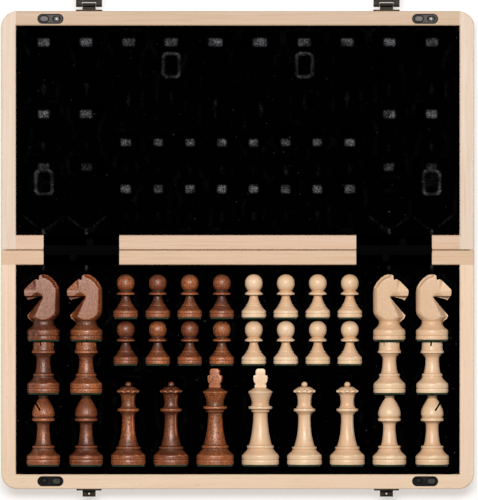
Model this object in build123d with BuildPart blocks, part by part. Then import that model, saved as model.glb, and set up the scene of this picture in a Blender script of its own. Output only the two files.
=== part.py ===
from build123d import *
import os
from dataclasses import dataclass

os.makedirs("parts", exist_ok=True)

# A folding chess box, lying open on a table with its insides up. Two shallow halves are hinged
# along one side. Closed, they hold the chessmen lying in moulded trays. Open and turned over,
# their outsides make the board.
#
# X runs along the fold and +Y from the base half to the lid half. The origin is the middle of
# the base half's underside, where the closed box stands. The box is laid out from the chessmen
# outwards: pockets, walls between them, trays, rails.


@dataclass
class Turning:
    """Radii and heights of a turned chessman, measured from the underside of its felt."""

    length: float
    foot_radius: float
    foot_height: float
    ring_radius: float
    ring_height: float
    stem_radius: float
    neck_radius: float
    collar_radius: float
    collar_height: float
    head_radius: float


king = Turning(
    length=78.6, foot_radius=15.0, foot_height=9.2, ring_radius=10.8, ring_height=14.6,
    stem_radius=9.2, neck_radius=5.7, collar_radius=9.4, collar_height=46.2, head_radius=9.7,
)
queen = Turning(
    length=67.8, foot_radius=14.0, foot_height=9.2, ring_radius=9.8, ring_height=14.5,
    stem_radius=7.9, neck_radius=5.0, collar_radius=8.5, collar_height=44.0, head_radius=9.0,
)
bishop = Turning(
    length=57.4, foot_radius=13.45, foot_height=8.8, ring_radius=8.9, ring_height=14.4,
    stem_radius=6.8, neck_radius=5.0, collar_radius=9.1, collar_height=36.2, head_radius=9.0,
)
rook = Turning(
    length=42.4, foot_radius=12.9, foot_height=9.0, ring_radius=8.2, ring_height=14.6,
    stem_radius=6.6, neck_radius=5.5, collar_radius=9.3, collar_height=33.2, head_radius=8.3,
)
pawn = Turning(
    length=36.0, foot_radius=9.85, foot_height=6.8, ring_radius=6.1, ring_height=10.6,
    stem_radius=4.9, neck_radius=3.2, collar_radius=7.1, collar_height=19.6, head_radius=6.8,
)
# The knight's collar is the widest turning under its head, and its head reaches out to the nose
knight = Turning(
    length=53.9, foot_radius=13.0, foot_height=9.4, ring_radius=8.3, ring_height=13.4,
    stem_radius=8.3, neck_radius=8.3, collar_radius=13.1, collar_height=22.8, head_radius=15.4,
)

# What the turnings share
felt_thickness = 1.4
felt_inset = 0.9
foot_ease = 0.6
foot_groove = 0.7
ring_thickness = 1.8
ring_overhang = 0.4
collar_thickness = 1.8
cup_height = 2.2
cup_spread = 1.7

# Heads: the pawn's ball, rook's crown, bishop's mitre, queen's coronet and king's cross
ball_neck_radius = 4.3
rook_wall = 2.4
rook_well_depth = 4.0
rook_notch_width = 1.3
rook_notch_depth = 2.8
rook_notches = 4
finial_radius = 3.9
finial_height = 1.8
mitre_slot_width = 1.3
coronet_rise = 8.2
coronet_points = 9
coronet_scallop = 1.7
pearl_radius = 2.4
crown_rise = 19.0
cross_rise = 15.4
cross_thickness = 5.0
cross_half_width = 5.7

# The knight's head, cut flat on both sides from a turned blank, and narrower at the muzzle
knight_thickness = 18.0
muzzle_thickness = 10.5
dome_height = 41.0

# How far each man lies rolled about its own axis, in degrees, first and second of its rank
bishop_rolls = (160, 0)
rook_rolls = (25, 14)
king_roll = 12

# Pockets and the walls that stand between them
pocket_clearance = 0.6
head_clearance = 1.5
pocket_wall = 5.3
pawn_wall = 4.9
knight_wall = 2.5
knight_chamber_point = 10.0
end_wall = 5.6
piece_gap = 0.4
pawn_gap = 1.5
well_width = 14.5
well_length = 20.0
well_radius = 4.0
well_depth = 13.0
queen_well_reach = 25.0
knight_well_reach = 19.0

# Halves of the box
tray_floor = 6.0
tray_drop = 2.0
tray_clearance = 0.6
tray_corner = 7.0
rail_width = 11.7
corner_radius = 13.0
edge_ease = 0.8
cavity_ease = 0.7
panel_thickness = 4.0
fold_gap = 0.5
closing_gap = 1.2

# Chessboard on the undersides
board_border = 14.5
board_front_border = 15.0
board_ranks = 4
board_files = 8
veneer_thickness = 0.6
veneer_joint = 0.1

# Hinges and their cloth covers
hinge_inset = 64.6
leaf_length = 44.0
leaf_width = 9.5
leaf_thickness = 0.8
knuckle_radius = 1.3
hinge_pin_radius = 0.65
knuckle_clearance = 0.3
knuckle_gap = 0.2
knuckles = 5
cover_width = 61.0
cover_thickness = 0.4
cover_lift = 0.1
cover_setback = 2.0

# Locating plates in the front rails
plate_inset = 39.6
plate_setback = 6.3
plate_length = 21.0
plate_width = 8.0
plate_thickness = 3.4
plate_proud = 0.35
boss_offset = 5.0
boss_length = 6.0
boss_width = 3.8
boss_height = 1.6
socket_clearance = 0.5
socket_depth = 2.2

# Latches on the lid, keepers on the base
latch_inset = 70.6
latch_width = 21.0
latch_plate_height = 15.0
latch_plate_thickness = 1.2
latch_plate_drop = 2.0
latch_drop = 5.0
latch_reach = 5.0
latch_barrel_radius = 1.6
latch_pin_radius = 0.7
latch_arm_width = 10.7
latch_arm_thickness = 1.2
latch_clearance = 0.3
latch_screw_drop = 3.0
flap_thickness = 0.8
flap_crank = 4.2
flap_stand_off = 0.5
flap_below_slot = 5.0
flap_lip = 2.2
flap_bend = 1.0
tongue_reach = 13.0
tongue_width = 10.5
tongue_length = 6.4
tongue_thickness = 1.2
tongue_eye_radius = 1.5
tongue_eye_wall = 0.9
slot_clearance = 0.9
keeper_width = 20.0
keeper_height = 13.0
keeper_thickness = 1.3
keeper_rise = 5.0
keeper_screw_drop = 4.0
plate_corner = 1.5

# Countersunk screws, one size throughout
screw_head_radius = 1.9
screw_head_height = 1.0
screw_shank_radius = 0.9
screw_length = 8.0
screw_clearance = 0.05
screw_spread = 7.4

pin_clearance = 0.1


# ---------------------------------------------------------------- Chessmen

def foot(t):
    """Draws a turned foot with its groove, out from the axis, and returns its upper end."""
    band = (felt_thickness + t.foot_height) / 2
    shoulder = t.foot_radius - foot_groove
    outline = Polyline(
        (0, felt_thickness),
        (t.foot_radius - foot_ease, felt_thickness),
        (t.foot_radius, felt_thickness + foot_ease),
        (t.foot_radius, band),
        (t.foot_radius - foot_groove, band + foot_groove),
        (shoulder, t.foot_height - foot_ease),
        (shoulder - foot_ease, t.foot_height),
    )
    return outline @ 1


def flare(t, start, radius):
    """Draws the hollow flare over the foot as two tapers, up to the ring's underside."""
    rise = t.ring_height - t.foot_height
    outline = Polyline(
        start,
        (radius + 0.35 * (start.X - radius), t.foot_height + 0.45 * rise),
        (radius, t.ring_height),
    )
    return outline @ 1


def stem_and_collar(t, throat):
    """Draws foot, ring, hollow stem, cup and collar; the collar's top is throat wide."""
    under_ring = flare(t, foot(t), t.ring_radius - ring_overhang)
    stem_foot = t.ring_height + ring_thickness
    cup_foot = t.collar_height - cup_height
    outline = Polyline(
        under_ring,
        (t.ring_radius, t.ring_height + ring_thickness / 2),
        (t.stem_radius, stem_foot),
        (t.neck_radius + 0.2 * (t.stem_radius - t.neck_radius), (stem_foot + cup_foot) / 2),
        (t.neck_radius, cup_foot),
        (t.neck_radius + cup_spread, t.collar_height),
        (t.collar_radius, t.collar_height + collar_thickness / 2),
        (throat, t.collar_height + collar_thickness),
    )
    return outline @ 1


def ball_seat(t, ball, neck):
    """The point where a ball at the top of a chessman meets a neck of the given radius."""
    return (neck, t.length - ball - (ball**2 - neck**2) ** 0.5)


def ball_and_axis(t, ball, neck):
    """Draws the ball from its seat to the top, and the axis back down to the foot."""
    ThreePointArc(ball_seat(t, ball, neck), (ball, t.length - ball), (0, t.length))
    Line((0, t.length), (0, felt_thickness))


with BuildPart() as pawn_wood:
    # the ball stands on a short cone above the collar
    with BuildSketch():
        with BuildLine():
            collar_top = stem_and_collar(pawn, ball_neck_radius + 0.9)
            Line(collar_top, ball_seat(pawn, pawn.head_radius, ball_neck_radius))
            ball_and_axis(pawn, pawn.head_radius, ball_neck_radius)
        make_face()
    revolve(axis=Axis.Y)

with BuildPart() as rook_wood:
    with BuildSketch():
        with BuildLine():
            collar_top = stem_and_collar(rook, rook.head_radius + 0.3)
            Polyline(
                collar_top,
                (rook.head_radius, rook.length),
                (rook.head_radius - rook_wall, rook.length),
                (rook.head_radius - rook_wall, rook.length - rook_well_depth),
                (0, rook.length - rook_well_depth),
                (0, felt_thickness),
            )
        make_face()
    revolve(axis=Axis.Y)
    with BuildSketch(Plane.XZ.offset(-rook.length)):
        with PolarLocations(rook.head_radius - rook_wall / 2, rook_notches, start_angle=90):
            Rectangle(2 * rook_wall, rook_notch_width)
    extrude(amount=rook_notch_depth, mode=Mode.SUBTRACT)

with BuildPart() as bishop_wood:
    # the mitre is two tapers over a rounded foot, slotted on the side towards -X
    mitre_foot = bishop.collar_height + collar_thickness
    finial_foot = bishop.length - finial_height
    with BuildSketch():
        with BuildLine():
            collar_top = stem_and_collar(bishop, bishop.head_radius - 1.1)
            Polyline(
                collar_top,
                (bishop.head_radius, mitre_foot + 3.2),
                (bishop.head_radius - 0.1, mitre_foot + 5.0),
                (bishop.head_radius - 0.9, mitre_foot + 8.6),
                (finial_radius - 0.5, finial_foot - 0.4),
                (finial_radius, finial_foot),
                (finial_radius, bishop.length - foot_ease),
                (finial_radius - foot_ease, bishop.length),
                (0, bishop.length),
                (0, felt_thickness),
            )
        make_face()
    revolve(axis=Axis.Y)
    with BuildSketch(
        Plane(origin=(-2.4, mitre_foot + 7.0, 0), x_dir=(-2, 3, 0), z_dir=(0, 0, 1))
    ):
        Rectangle(2 * bishop.head_radius, mitre_slot_width, align=(Align.MIN, Align.CENTER))
    extrude(amount=bishop.head_radius, both=True, mode=Mode.SUBTRACT)

with BuildPart() as queen_wood:
    # the crown is hollow in outline, with a scalloped rim, a dome and a pearl
    crown_foot = queen.collar_height + collar_thickness
    coronet_foot = queen.length - coronet_rise
    coronet_top = coronet_foot + 1.8
    with BuildSketch():
        with BuildLine():
            collar_top = stem_and_collar(queen, queen.neck_radius + 1.4)
            Polyline(
                collar_top,
                (queen.neck_radius + 0.5, crown_foot + 2.6),
                (queen.neck_radius + 1.2, crown_foot + 10.0),
                (queen.head_radius, coronet_foot),
                (queen.head_radius, coronet_top),
                (queen.head_radius - 1.8, coronet_top + 0.6),
                (queen.neck_radius, coronet_top + 2.4),
                ball_seat(queen, pearl_radius, pearl_radius / 2),
            )
            ball_and_axis(queen, pearl_radius, pearl_radius / 2)
        make_face()
    revolve(axis=Axis.Y)
    with BuildSketch(Plane.XZ.offset(-coronet_foot + coronet_scallop)):
        with PolarLocations(queen.head_radius + 0.5, coronet_points):
            Circle(coronet_scallop)
    extrude(amount=-coronet_scallop - 3.0, mode=Mode.SUBTRACT)

with BuildPart() as king_wood:
    # a flaring crown, a low cone on it and a flat cross with broad arms
    crown_foot = king.collar_height + collar_thickness
    crown_top = king.length - crown_rise
    cross_foot = king.length - cross_rise
    with BuildSketch():
        with BuildLine():
            collar_top = stem_and_collar(king, king.neck_radius + 1.5)
            Polyline(
                collar_top,
                (king.neck_radius + 1.1, crown_foot + 1.8),
                (king.head_radius, crown_top),
                (king.head_radius - 0.6, crown_top + 0.7),
                (king.neck_radius - 0.6, cross_foot),
                (0, cross_foot + 0.2),
                (0, felt_thickness),
            )
        make_face()
    revolve(axis=Axis.Y)
    with BuildSketch():
        with BuildLine():
            Polyline(
                (0, cross_foot - 1.2),
                (4.2, cross_foot - 1.2),
                (4.7, cross_foot + 1.8),
                (4.0, cross_foot + 2.9),
                (cross_half_width, cross_foot + 5.6),
                (cross_half_width, cross_foot + 9.6),
                (3.9, cross_foot + 10.0),
                (3.9, king.length - 1.6),
                (2.7, king.length),
                (0, king.length),
                close=True,
            )
        make_face()
        mirror(about=Plane.YZ)
    extrude(amount=cross_thickness / 2, both=True)

with BuildSketch() as knight_side:
    # the head from the side, its nose towards -X; the blank's turning gives the mane
    with BuildLine():
        Polyline(
            (-knight.head_radius, knight.ring_height),
            (-13.4, knight.collar_height - 2.4),
            (-0.4, 34.9),
            (-1.6, 35.6),
            (-11.2, 33.4),
            (-12.2, 32.5),
            (-14.8, 35.7),
            (-knight.head_radius, 39.5),
            (-15.1, 41.2),
            (-5.8, 49.6),
            (-3.7, 48.8),
            (-3.1, 52.3),
            (-1.6, knight.length),
            (knight.head_radius, knight.length),
            (knight.head_radius, knight.ring_height),
            close=True,
        )
    make_face()

with BuildPart() as knight_head:
    with BuildSketch():
        with BuildLine():
            Polyline(
                (0, knight.ring_height),
                (knight.neck_radius, knight.ring_height),
                (knight.neck_radius, knight.ring_height + 2.4),
                (knight.neck_radius + 2.3, knight.collar_height - 4.0),
                (knight.collar_radius, knight.collar_height),
                (knight.collar_radius, dome_height),
                (0.75 * knight.collar_radius, dome_height + 6.2),
                (0.27 * knight.collar_radius, knight.length - 1.0),
                (0, knight.length),
                close=True,
            )
        make_face()
    revolve(axis=Axis.Y)
    extrude(knight_side.sketch, amount=knight_thickness / 2, both=True, mode=Mode.INTERSECT)
    with BuildSketch():
        add(knight_side.sketch)
        with Locations((-knight.head_radius / 2, dome_height)):
            Rectangle(knight.head_radius + 1, 19.0, mode=Mode.INTERSECT)
    extrude(amount=muzzle_thickness / 2, both=True)

with BuildPart() as knight_wood:
    with BuildSketch():
        with BuildLine():
            neck = flare(knight, foot(knight), knight.neck_radius)
            Polyline(neck, (0, knight.ring_height), (0, felt_thickness))
        make_face()
    revolve(axis=Axis.Y)
    add(knight_head.part)


# ------------------------------------------------------------------ Layout

# Half widths of the pockets at tray level, and the columns counted out from the middle
king_pocket = king.foot_radius + pocket_clearance
queen_pocket = queen.foot_radius + pocket_clearance
bishop_pocket = bishop.foot_radius + pocket_clearance
pawn_pocket = pawn.foot_radius + pocket_clearance
knight_chamber_half_width = knight.head_radius + pocket_clearance
outer_pocket = max(bishop_pocket, rook.foot_radius + pocket_clearance, knight_chamber_half_width)

king_x = king_pocket + pocket_wall / 2
queen_1_x = king_x + king_pocket + pocket_wall + queen_pocket
queen_2_x = queen_1_x + 2 * queen_pocket + pocket_wall
pawn_pitch = 2 * pawn_pocket + pawn_wall
pawns_end = 3.5 * pawn_pitch + pawn_pocket
officer_1_x = max(
    queen_2_x + queen_pocket + pocket_wall + bishop_pocket, pawns_end + pawn_wall + outer_pocket
)
officer_2_x = officer_1_x + 2 * outer_pocket + knight_wall

tray_width = 2 * (officer_2_x + outer_pocket + end_wall)
cavity_width = tray_width + 2 * tray_clearance
box_width = cavity_width + 2 * rail_width

# Depth, counted from the front of the base half to the fold
officers_length = bishop.length + rook.length + knight.length + 2 * piece_gap
royals_length = max(king.length, queen.length) + 2 * pawn.length + piece_gap + pawn_gap
rows_length = max(officers_length, royals_length)
tray_depth = rows_length + pocket_clearance + head_clearance + 2 * end_wall
cavity_depth = tray_depth + 2 * tray_clearance
half_depth = cavity_depth + 2 * rail_width
base_front_y = -half_depth / 2
fold_y = half_depth / 2 + fold_gap / 2
lid_front_y = fold_y + fold_gap / 2 + half_depth
fold_plane = Plane.XZ.offset(-fold_y)

foot_line_y = -tray_depth / 2 + end_wall + pocket_clearance
head_line_y = foot_line_y + rows_length
rook_y = foot_line_y + bishop.length + 0.5 * (rows_length - officers_length) + piece_gap
pawn_row_1_y = head_line_y - pawn.length
pawn_row_2_y = pawn_row_1_y - pawn_gap - pawn.length

# Heights: the chessmen lie with their axes in the plane where the two halves meet
closing_z = panel_thickness + tray_floor + king_pocket
rim_z = closing_z - closing_gap / 2
tray_top_z = rim_z - tray_drop

# Where each rank lies, as distances from the middle, the y of its foot and its roll
knight_y = head_line_y - knight.length
seats = {
    "king": [(king_x, foot_line_y, king_roll)],
    "queen": [(queen_1_x, foot_line_y, 0), (queen_2_x, foot_line_y, 0)],
    "bishop": [(x, foot_line_y, r) for x, r in zip((officer_1_x, officer_2_x), bishop_rolls)],
    "rook": [(x, rook_y, r) for x, r in zip((officer_1_x, officer_2_x), rook_rolls)],
    "knight": [(officer_1_x, knight_y, 0), (officer_2_x, knight_y, 0)],
    "pawn": [
        ((i + 0.5) * pawn_pitch, y, 0) for y in (pawn_row_1_y, pawn_row_2_y) for i in range(4)
    ],
}
turnings = {
    "king": king,
    "queen": queen,
    "bishop": bishop,
    "rook": rook,
    "knight": knight,
    "pawn": pawn,
}
woods = {
    "king": king_wood,
    "queen": queen_wood,
    "bishop": bishop_wood,
    "rook": rook_wood,
    "knight": knight_wood,
    "pawn": pawn_wood,
}


def lying_at(x, y, roll=0):
    """Where a man lies with its foot at x and y, rolled about its own axis."""
    return Location((x, y, closing_z), (0, roll, 0))


for rank, places in seats.items():
    turning = turnings[rank]
    with BuildPart() as felt:
        with BuildSketch(Plane.XZ):
            Circle(turning.foot_radius - felt_inset)
        extrude(amount=-felt_thickness)
    for colour, side in (("dark", -1), ("light", 1)):
        for number, (x, y, roll) in enumerate(places, start=1):
            with BuildPart() as turned:
                with Locations(lying_at(side * x, y, roll)):
                    add(woods[rank].part)
                if side > 0:
                    mirror(about=Plane.YZ.offset(x), mode=Mode.REPLACE)
            with BuildPart() as pad:
                with Locations(lying_at(side * x, y)):
                    add(felt.part)
            name = f"{colour}_{rank}" if len(places) == 1 else f"{colour}_{rank}_{number}"
            chessman = Compound(label=name, children=[turned.part.solid(), pad.part.solid()])
            export_step(chessman, f"parts/{name}.step")


# ------------------------------------------------------------------- Trays

def pocket_form(t, head_radius):
    """The hollow for a lying turned piece: a wide foot, a taper and a narrower head."""
    foot = t.foot_radius + pocket_clearance
    head = head_radius + pocket_clearance
    with BuildPart() as hollow:
        with BuildSketch():
            with BuildLine():
                Polyline(
                    (0, -pocket_clearance),
                    (foot, -pocket_clearance),
                    (foot, t.foot_height + pocket_clearance),
                    (head, t.ring_height + 2.6 * (t.foot_radius - t.ring_radius)),
                    (head, t.length + head_clearance),
                    (0, t.length + head_clearance),
                    close=True,
                )
            make_face()
        revolve(axis=Axis.Y)
    return hollow.part


with BuildPart() as knight_hollow:
    # the foot's half-round hollow, and a flat chamber with a pointed end for a head either way
    chamber_foot = knight.foot_height + 2.0
    chamber_end = knight.length + head_clearance
    add(pocket_form(knight, knight.neck_radius))
    with BuildSketch(Plane.XY.offset(-knight_thickness / 2 - pocket_clearance)):
        with BuildLine():
            Polyline(
                (-knight.foot_radius, chamber_foot),
                (-knight_chamber_half_width, chamber_foot + 6.0),
                (-knight_chamber_half_width, chamber_end - knight_chamber_point),
                (-0.35 * knight_chamber_half_width, chamber_end),
                (0.35 * knight_chamber_half_width, chamber_end),
                (knight_chamber_half_width, chamber_end - knight_chamber_point),
                (knight_chamber_half_width, chamber_foot + 6.0),
                (knight.foot_radius, chamber_foot),
                close=True,
            )
        make_face()
    extrude(amount=2 * knight.foot_radius)

hollows = {
    rank: pocket_form(turning, max(turning.head_radius, turning.collar_radius))
    for rank, turning in turnings.items()
    if rank != "knight"
}
hollows["knight"] = knight_hollow.part

with BuildPart() as base_tray:
    with BuildSketch(Plane.XY.offset(panel_thickness)):
        RectangleRounded(tray_width, tray_depth, tray_corner)
    extrude(amount=tray_top_z - panel_thickness)
    for rank, places in seats.items():
        with Locations(*[lying_at(side * x, y) for x, y, roll in places for side in (-1, 1)]):
            add(hollows[rank], mode=Mode.SUBTRACT)

with BuildPart() as lid_tray:
    mirror(base_tray.part, about=fold_plane)
    with BuildSketch(Plane.XY.offset(tray_top_z)):
        queen_well_y = 2 * fold_y - (foot_line_y + queen_well_reach)
        knight_well_y = 2 * fold_y - (knight_y + knight_well_reach)
        with Locations(
            *[(side * queen_1_x, queen_well_y) for side in (-1, 1)],
            *[(side * officer_2_x, knight_well_y) for side in (-1, 1)],
        ):
            RectangleRounded(well_width, well_length, well_radius)
    extrude(amount=-well_depth, mode=Mode.SUBTRACT)


# ------------------------------------------------- Screws, shared by all hardware

def screw_form(grow):
    """A countersunk screw, its head's flat face at the origin, pointing down; grow widens it."""
    head = screw_head_radius + grow
    shank = screw_shank_radius + grow
    with BuildPart() as form:
        with BuildSketch(Plane.XZ):
            with BuildLine():
                Polyline(
                    (0, 0),
                    (head, 0),
                    (shank, -screw_head_height - grow),
                    (shank, -screw_length - 4 * grow),
                    (0, -screw_length - 4 * grow),
                    close=True,
                )
            make_face()
        revolve(axis=Axis.Z)
    return form.part


screw = screw_form(0)
screw_hole = screw_form(screw_clearance)

latch_x = box_width / 2 - latch_inset
plate_x = box_width / 2 - plate_inset
hinge_x = box_width / 2 - hinge_inset
sides = (-1, 1)

# Screws of the base half; those of the lid's hinge leaves mirror the base's
leaf_y = fold_y - fold_gap / 2 - 0.5 * leaf_width
plate_y = base_front_y + plate_setback
plate_top_z = rim_z + plate_proud
socket_floor_z = plate_top_z - socket_depth
keeper_plane_y = base_front_y - keeper_thickness
latch_axis_z = rim_z - latch_drop
latch_plate_y = lid_front_y + latch_plate_thickness
latch_plate_middle_z = rim_z - latch_plate_drop - latch_plate_height / 2
tongue_z = 2 * closing_z - latch_axis_z - tongue_reach
keeper_middle_z = tongue_z + keeper_rise - keeper_height / 2
keeper_screw_z = tongue_z - keeper_screw_drop
latch_screw_z = latch_plate_middle_z - latch_screw_drop

leaf_screws = [Plane((side * hinge_x, leaf_y, rim_z)) for side in sides]
base_plate_screws = [
    Plane((side * plate_x - boss_offset, plate_y, socket_floor_z)) for side in sides
]
lid_plate_screws = [
    Plane((side * plate_x + boss_offset, 2 * fold_y - plate_y, socket_floor_z)) for side in sides
]
keeper_screws = [
    Plane(
        origin=(side * latch_x + offset * screw_spread, keeper_plane_y, keeper_screw_z),
        z_dir=(0, -1, 0),
    )
    for side in sides
    for offset in sides
]
latch_screws = [
    Plane(
        origin=(side * latch_x + offset * screw_spread, latch_plate_y, latch_screw_z),
        z_dir=(0, 1, 0),
    )
    for side in sides
    for offset in sides
]

with BuildPart() as base_screws:
    with Locations(*leaf_screws, *base_plate_screws, *keeper_screws):
        add(screw)

with BuildPart() as lid_screws:
    with Locations(*leaf_screws):
        add(screw)
    mirror(about=fold_plane, mode=Mode.REPLACE)
    with Locations(*lid_plate_screws, *latch_screws):
        add(screw)


# --------------------------------------------------------- Panels and board

def footprint():
    """The outline of one half: square at the fold, rounded at the front."""
    with BuildSketch() as outline:
        Rectangle(box_width, half_depth)
        fillet(outline.vertices().group_by(Axis.Y)[0], corner_radius)
    return outline.sketch


square = (box_width - 2 * board_border) / board_files
square_depth = (2 * half_depth + fold_gap - 2 * board_front_border) / (2 * board_ranks)


def dark_square_centres(first_rank):
    """Centres of one half's dark squares; the ranks are counted from the base half's front."""
    return [
        (
            (file + 0.5) * square - box_width / 2 + board_border,
            (rank + 0.5) * min(square, square_depth) - half_depth / 2 + board_front_border,
        )
        for rank in range(board_ranks)
        for file in range(board_files)
        if (rank + file + first_rank) % 2 == 0
    ]


def dark_squares(first_rank):
    with BuildPart() as squares:
        with BuildSketch():
            with Locations(*dark_square_centres(first_rank)):
                Rectangle(square - veneer_joint, min(square, square_depth) - veneer_joint)
        extrude(amount=veneer_thickness)
    return squares.part


def board_panel(squares):
    with BuildPart() as panel:
        with BuildSketch():
            add(footprint())
        extrude(amount=panel_thickness)
        fillet(panel.faces().sort_by(Axis.Z)[0].outer_wire().edges(), edge_ease)
        add(squares, mode=Mode.SUBTRACT)
    return panel.part


with BuildPart() as base_dark_squares:
    add(dark_squares(0))

with BuildPart() as base_board_panel:
    add(board_panel(base_dark_squares.part))

with BuildPart() as lid_dark_squares:
    mirror(dark_squares(1), about=fold_plane)

with BuildPart() as lid_board_panel:
    mirror(board_panel(dark_squares(1)), about=fold_plane)


# ------------------------------------------------------------------- Rails

with BuildPart() as frame_ring:
    with BuildSketch(Plane.XY.offset(panel_thickness)):
        add(footprint())
        Rectangle(cavity_width, cavity_depth, mode=Mode.SUBTRACT)
    extrude(amount=rim_z - panel_thickness)
    chamfer(frame_ring.faces().sort_by(Axis.Z)[-1].inner_wires()[0].edges(), cavity_ease)
    fillet(frame_ring.faces().sort_by(Axis.Z)[-1].outer_wire().edges(), edge_ease)

with BuildPart() as hinge_cuts:
    # beds for the leaves, a groove for the knuckles and the screws' pilot holes
    for side in sides:
        with BuildSketch(Plane.XY.offset(rim_z - leaf_thickness)):
            with Locations((side * hinge_x, fold_y - fold_gap / 2 - leaf_width / 2)):
                Rectangle(leaf_length + 2 * knuckle_gap, leaf_width + 2 * knuckle_gap)
        extrude(amount=2 * leaf_thickness)
        with Locations(Location((side * hinge_x, fold_y, closing_z), (0, 90, 0))):
            Cylinder(knuckle_radius + knuckle_clearance, leaf_length + 2 * knuckle_gap)
    with Locations(*leaf_screws):
        add(screw_hole)

with BuildPart() as plate_cuts:
    with BuildSketch(Plane.XY.offset(plate_top_z - plate_thickness)):
        with Locations(*[(side * plate_x, plate_y) for side in sides]):
            SlotOverall(plate_length + 2 * screw_clearance, plate_width + 2 * screw_clearance)
    extrude(amount=plate_thickness)

# The base's front and hinge rails run across, and its side rails are butted between them
front_cut = Plane.XZ.offset(cavity_depth / 2)
hinge_cut = Plane.ZX.offset(cavity_depth / 2)
right_cut = Plane.YZ.offset(cavity_width / 2)
left_cut = Plane.YZ.offset(-cavity_width / 2)

with BuildPart() as base_front_rail:
    add(frame_ring.part)
    split(bisect_by=front_cut)
    add(plate_cuts.part, mode=Mode.SUBTRACT)
    with Locations(*base_plate_screws, *keeper_screws):
        add(screw_hole, mode=Mode.SUBTRACT)

with BuildPart() as base_hinge_rail:
    add(frame_ring.part)
    split(bisect_by=hinge_cut)
    add(hinge_cuts.part, mode=Mode.SUBTRACT)

with BuildPart() as base_side_rails:
    add(frame_ring.part)
    split(bisect_by=front_cut, keep=Keep.BOTTOM)
    split(bisect_by=hinge_cut, keep=Keep.BOTTOM)

# The lid's side rails run its full depth, and its front and hinge rails are butted between them
with BuildPart() as lid_side_rails:
    add(frame_ring.part)
    with BuildSketch(Plane.XY):
        Rectangle(cavity_width, 2 * half_depth)
    extrude(amount=2 * rim_z, mode=Mode.SUBTRACT)
    mirror(about=fold_plane, mode=Mode.REPLACE)

with BuildPart() as lid_front_rail:
    add(frame_ring.part)
    split(bisect_by=front_cut)
    split(bisect_by=right_cut, keep=Keep.BOTTOM)
    split(bisect_by=left_cut)
    add(plate_cuts.part, mode=Mode.SUBTRACT)
    mirror(about=fold_plane, mode=Mode.REPLACE)
    with Locations(*lid_plate_screws, *latch_screws):
        add(screw_hole, mode=Mode.SUBTRACT)

with BuildPart() as lid_hinge_rail:
    add(frame_ring.part)
    split(bisect_by=hinge_cut)
    split(bisect_by=right_cut, keep=Keep.BOTTOM)
    split(bisect_by=left_cut)
    add(hinge_cuts.part, mode=Mode.SUBTRACT)
    mirror(about=fold_plane, mode=Mode.REPLACE)


# ------------------------------------------------------------------ Hinges

# The knuckles of each hinge belong by turns to the base's leaf and the lid's
knuckle_length = (leaf_length - (knuckles - 1) * knuckle_gap) / knuckles
knuckle_pitch = knuckle_length + knuckle_gap


def hinge_leaf(first):
    """A leaf let into the base's rail, with every second knuckle, counted from first."""
    offsets = [(i - (knuckles - 1) / 2) * knuckle_pitch for i in range(first, knuckles, 2)]
    with BuildPart() as leaf:
        with BuildSketch(Plane.XY.offset(rim_z - leaf_thickness)):
            with Locations((0, fold_y - fold_gap / 2 - leaf_width / 2 - knuckle_radius / 2)):
                Rectangle(leaf_length, leaf_width - knuckle_radius - knuckle_clearance)
            for offset in offsets:
                with Locations((offset, fold_y - knuckle_radius)):
                    Rectangle(knuckle_length, 2 * knuckle_radius)
        extrude(amount=leaf_thickness)
        for offset in offsets:
            with Locations(Location((offset, fold_y, closing_z), (0, 90, 0))):
                Cylinder(knuckle_radius, knuckle_length)
        with Locations(Location((0, fold_y, closing_z), (0, 90, 0))):
            Cylinder(hinge_pin_radius + pin_clearance, leaf_length, mode=Mode.SUBTRACT)
        with Locations(Plane((0, leaf_y, rim_z))):
            add(screw_hole, mode=Mode.SUBTRACT)
    return leaf.part


with BuildPart() as base_hinge_leaves:
    with Locations(*[(side * hinge_x, 0, 0) for side in sides]):
        add(hinge_leaf(0))

with BuildPart() as lid_hinge_leaves:
    with Locations(*[(side * hinge_x, 0, 0) for side in sides]):
        add(hinge_leaf(1))
    mirror(about=fold_plane, mode=Mode.REPLACE)

with BuildPart() as hinge_pins:
    with Locations(*[Location((side * hinge_x, fold_y, closing_z), (0, 90, 0)) for side in sides]):
        Cylinder(hinge_pin_radius, leaf_length)

with BuildPart() as base_hinge_covers:
    cover_depth = rail_width + fold_gap / 2 - cover_setback
    with BuildSketch(Plane.XY.offset(rim_z + cover_lift)):
        with Locations(*[(side * hinge_x, fold_y - cover_setback - cover_depth / 2) for side in sides]):
            Rectangle(cover_width, cover_depth)
    extrude(amount=cover_thickness)

with BuildPart() as lid_hinge_covers:
    mirror(base_hinge_covers.part, about=fold_plane)


# --------------------------------------------------------- Locating plates

def locating_plates(middle_y, boss_side):
    """The pair of plates in one front rail, each with a boss on one side, a socket on the other."""
    boss_places = [(side * plate_x + boss_side * boss_offset, middle_y) for side in sides]
    socket_places = [(side * plate_x - boss_side * boss_offset, middle_y) for side in sides]
    with BuildPart() as plates:
        with BuildSketch(Plane.XY.offset(plate_top_z - plate_thickness)):
            with Locations(*[(side * plate_x, middle_y) for side in sides]):
                SlotOverall(plate_length, plate_width)
        extrude(amount=plate_thickness)
        with BuildSketch(Plane.XY.offset(plate_top_z)):
            with Locations(*boss_places):
                SlotOverall(boss_length, boss_width)
        extrude(amount=boss_height)
        with BuildSketch(Plane.XY.offset(plate_top_z)):
            with Locations(*socket_places):
                SlotOverall(boss_length + 2 * socket_clearance, boss_width + 2 * socket_clearance)
        extrude(amount=-socket_depth, mode=Mode.SUBTRACT)
        with Locations(*[Plane((x, y, socket_floor_z)) for x, y in socket_places]):
            add(screw_hole, mode=Mode.SUBTRACT)
    return plates.part


with BuildPart() as base_locating_plates:
    add(locating_plates(plate_y, 1))

with BuildPart() as lid_locating_plates:
    add(locating_plates(2 * fold_y - plate_y, -1))


# ----------------------------------------------------- Latches and keepers

latch_axis_y = lid_front_y + latch_reach

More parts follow.
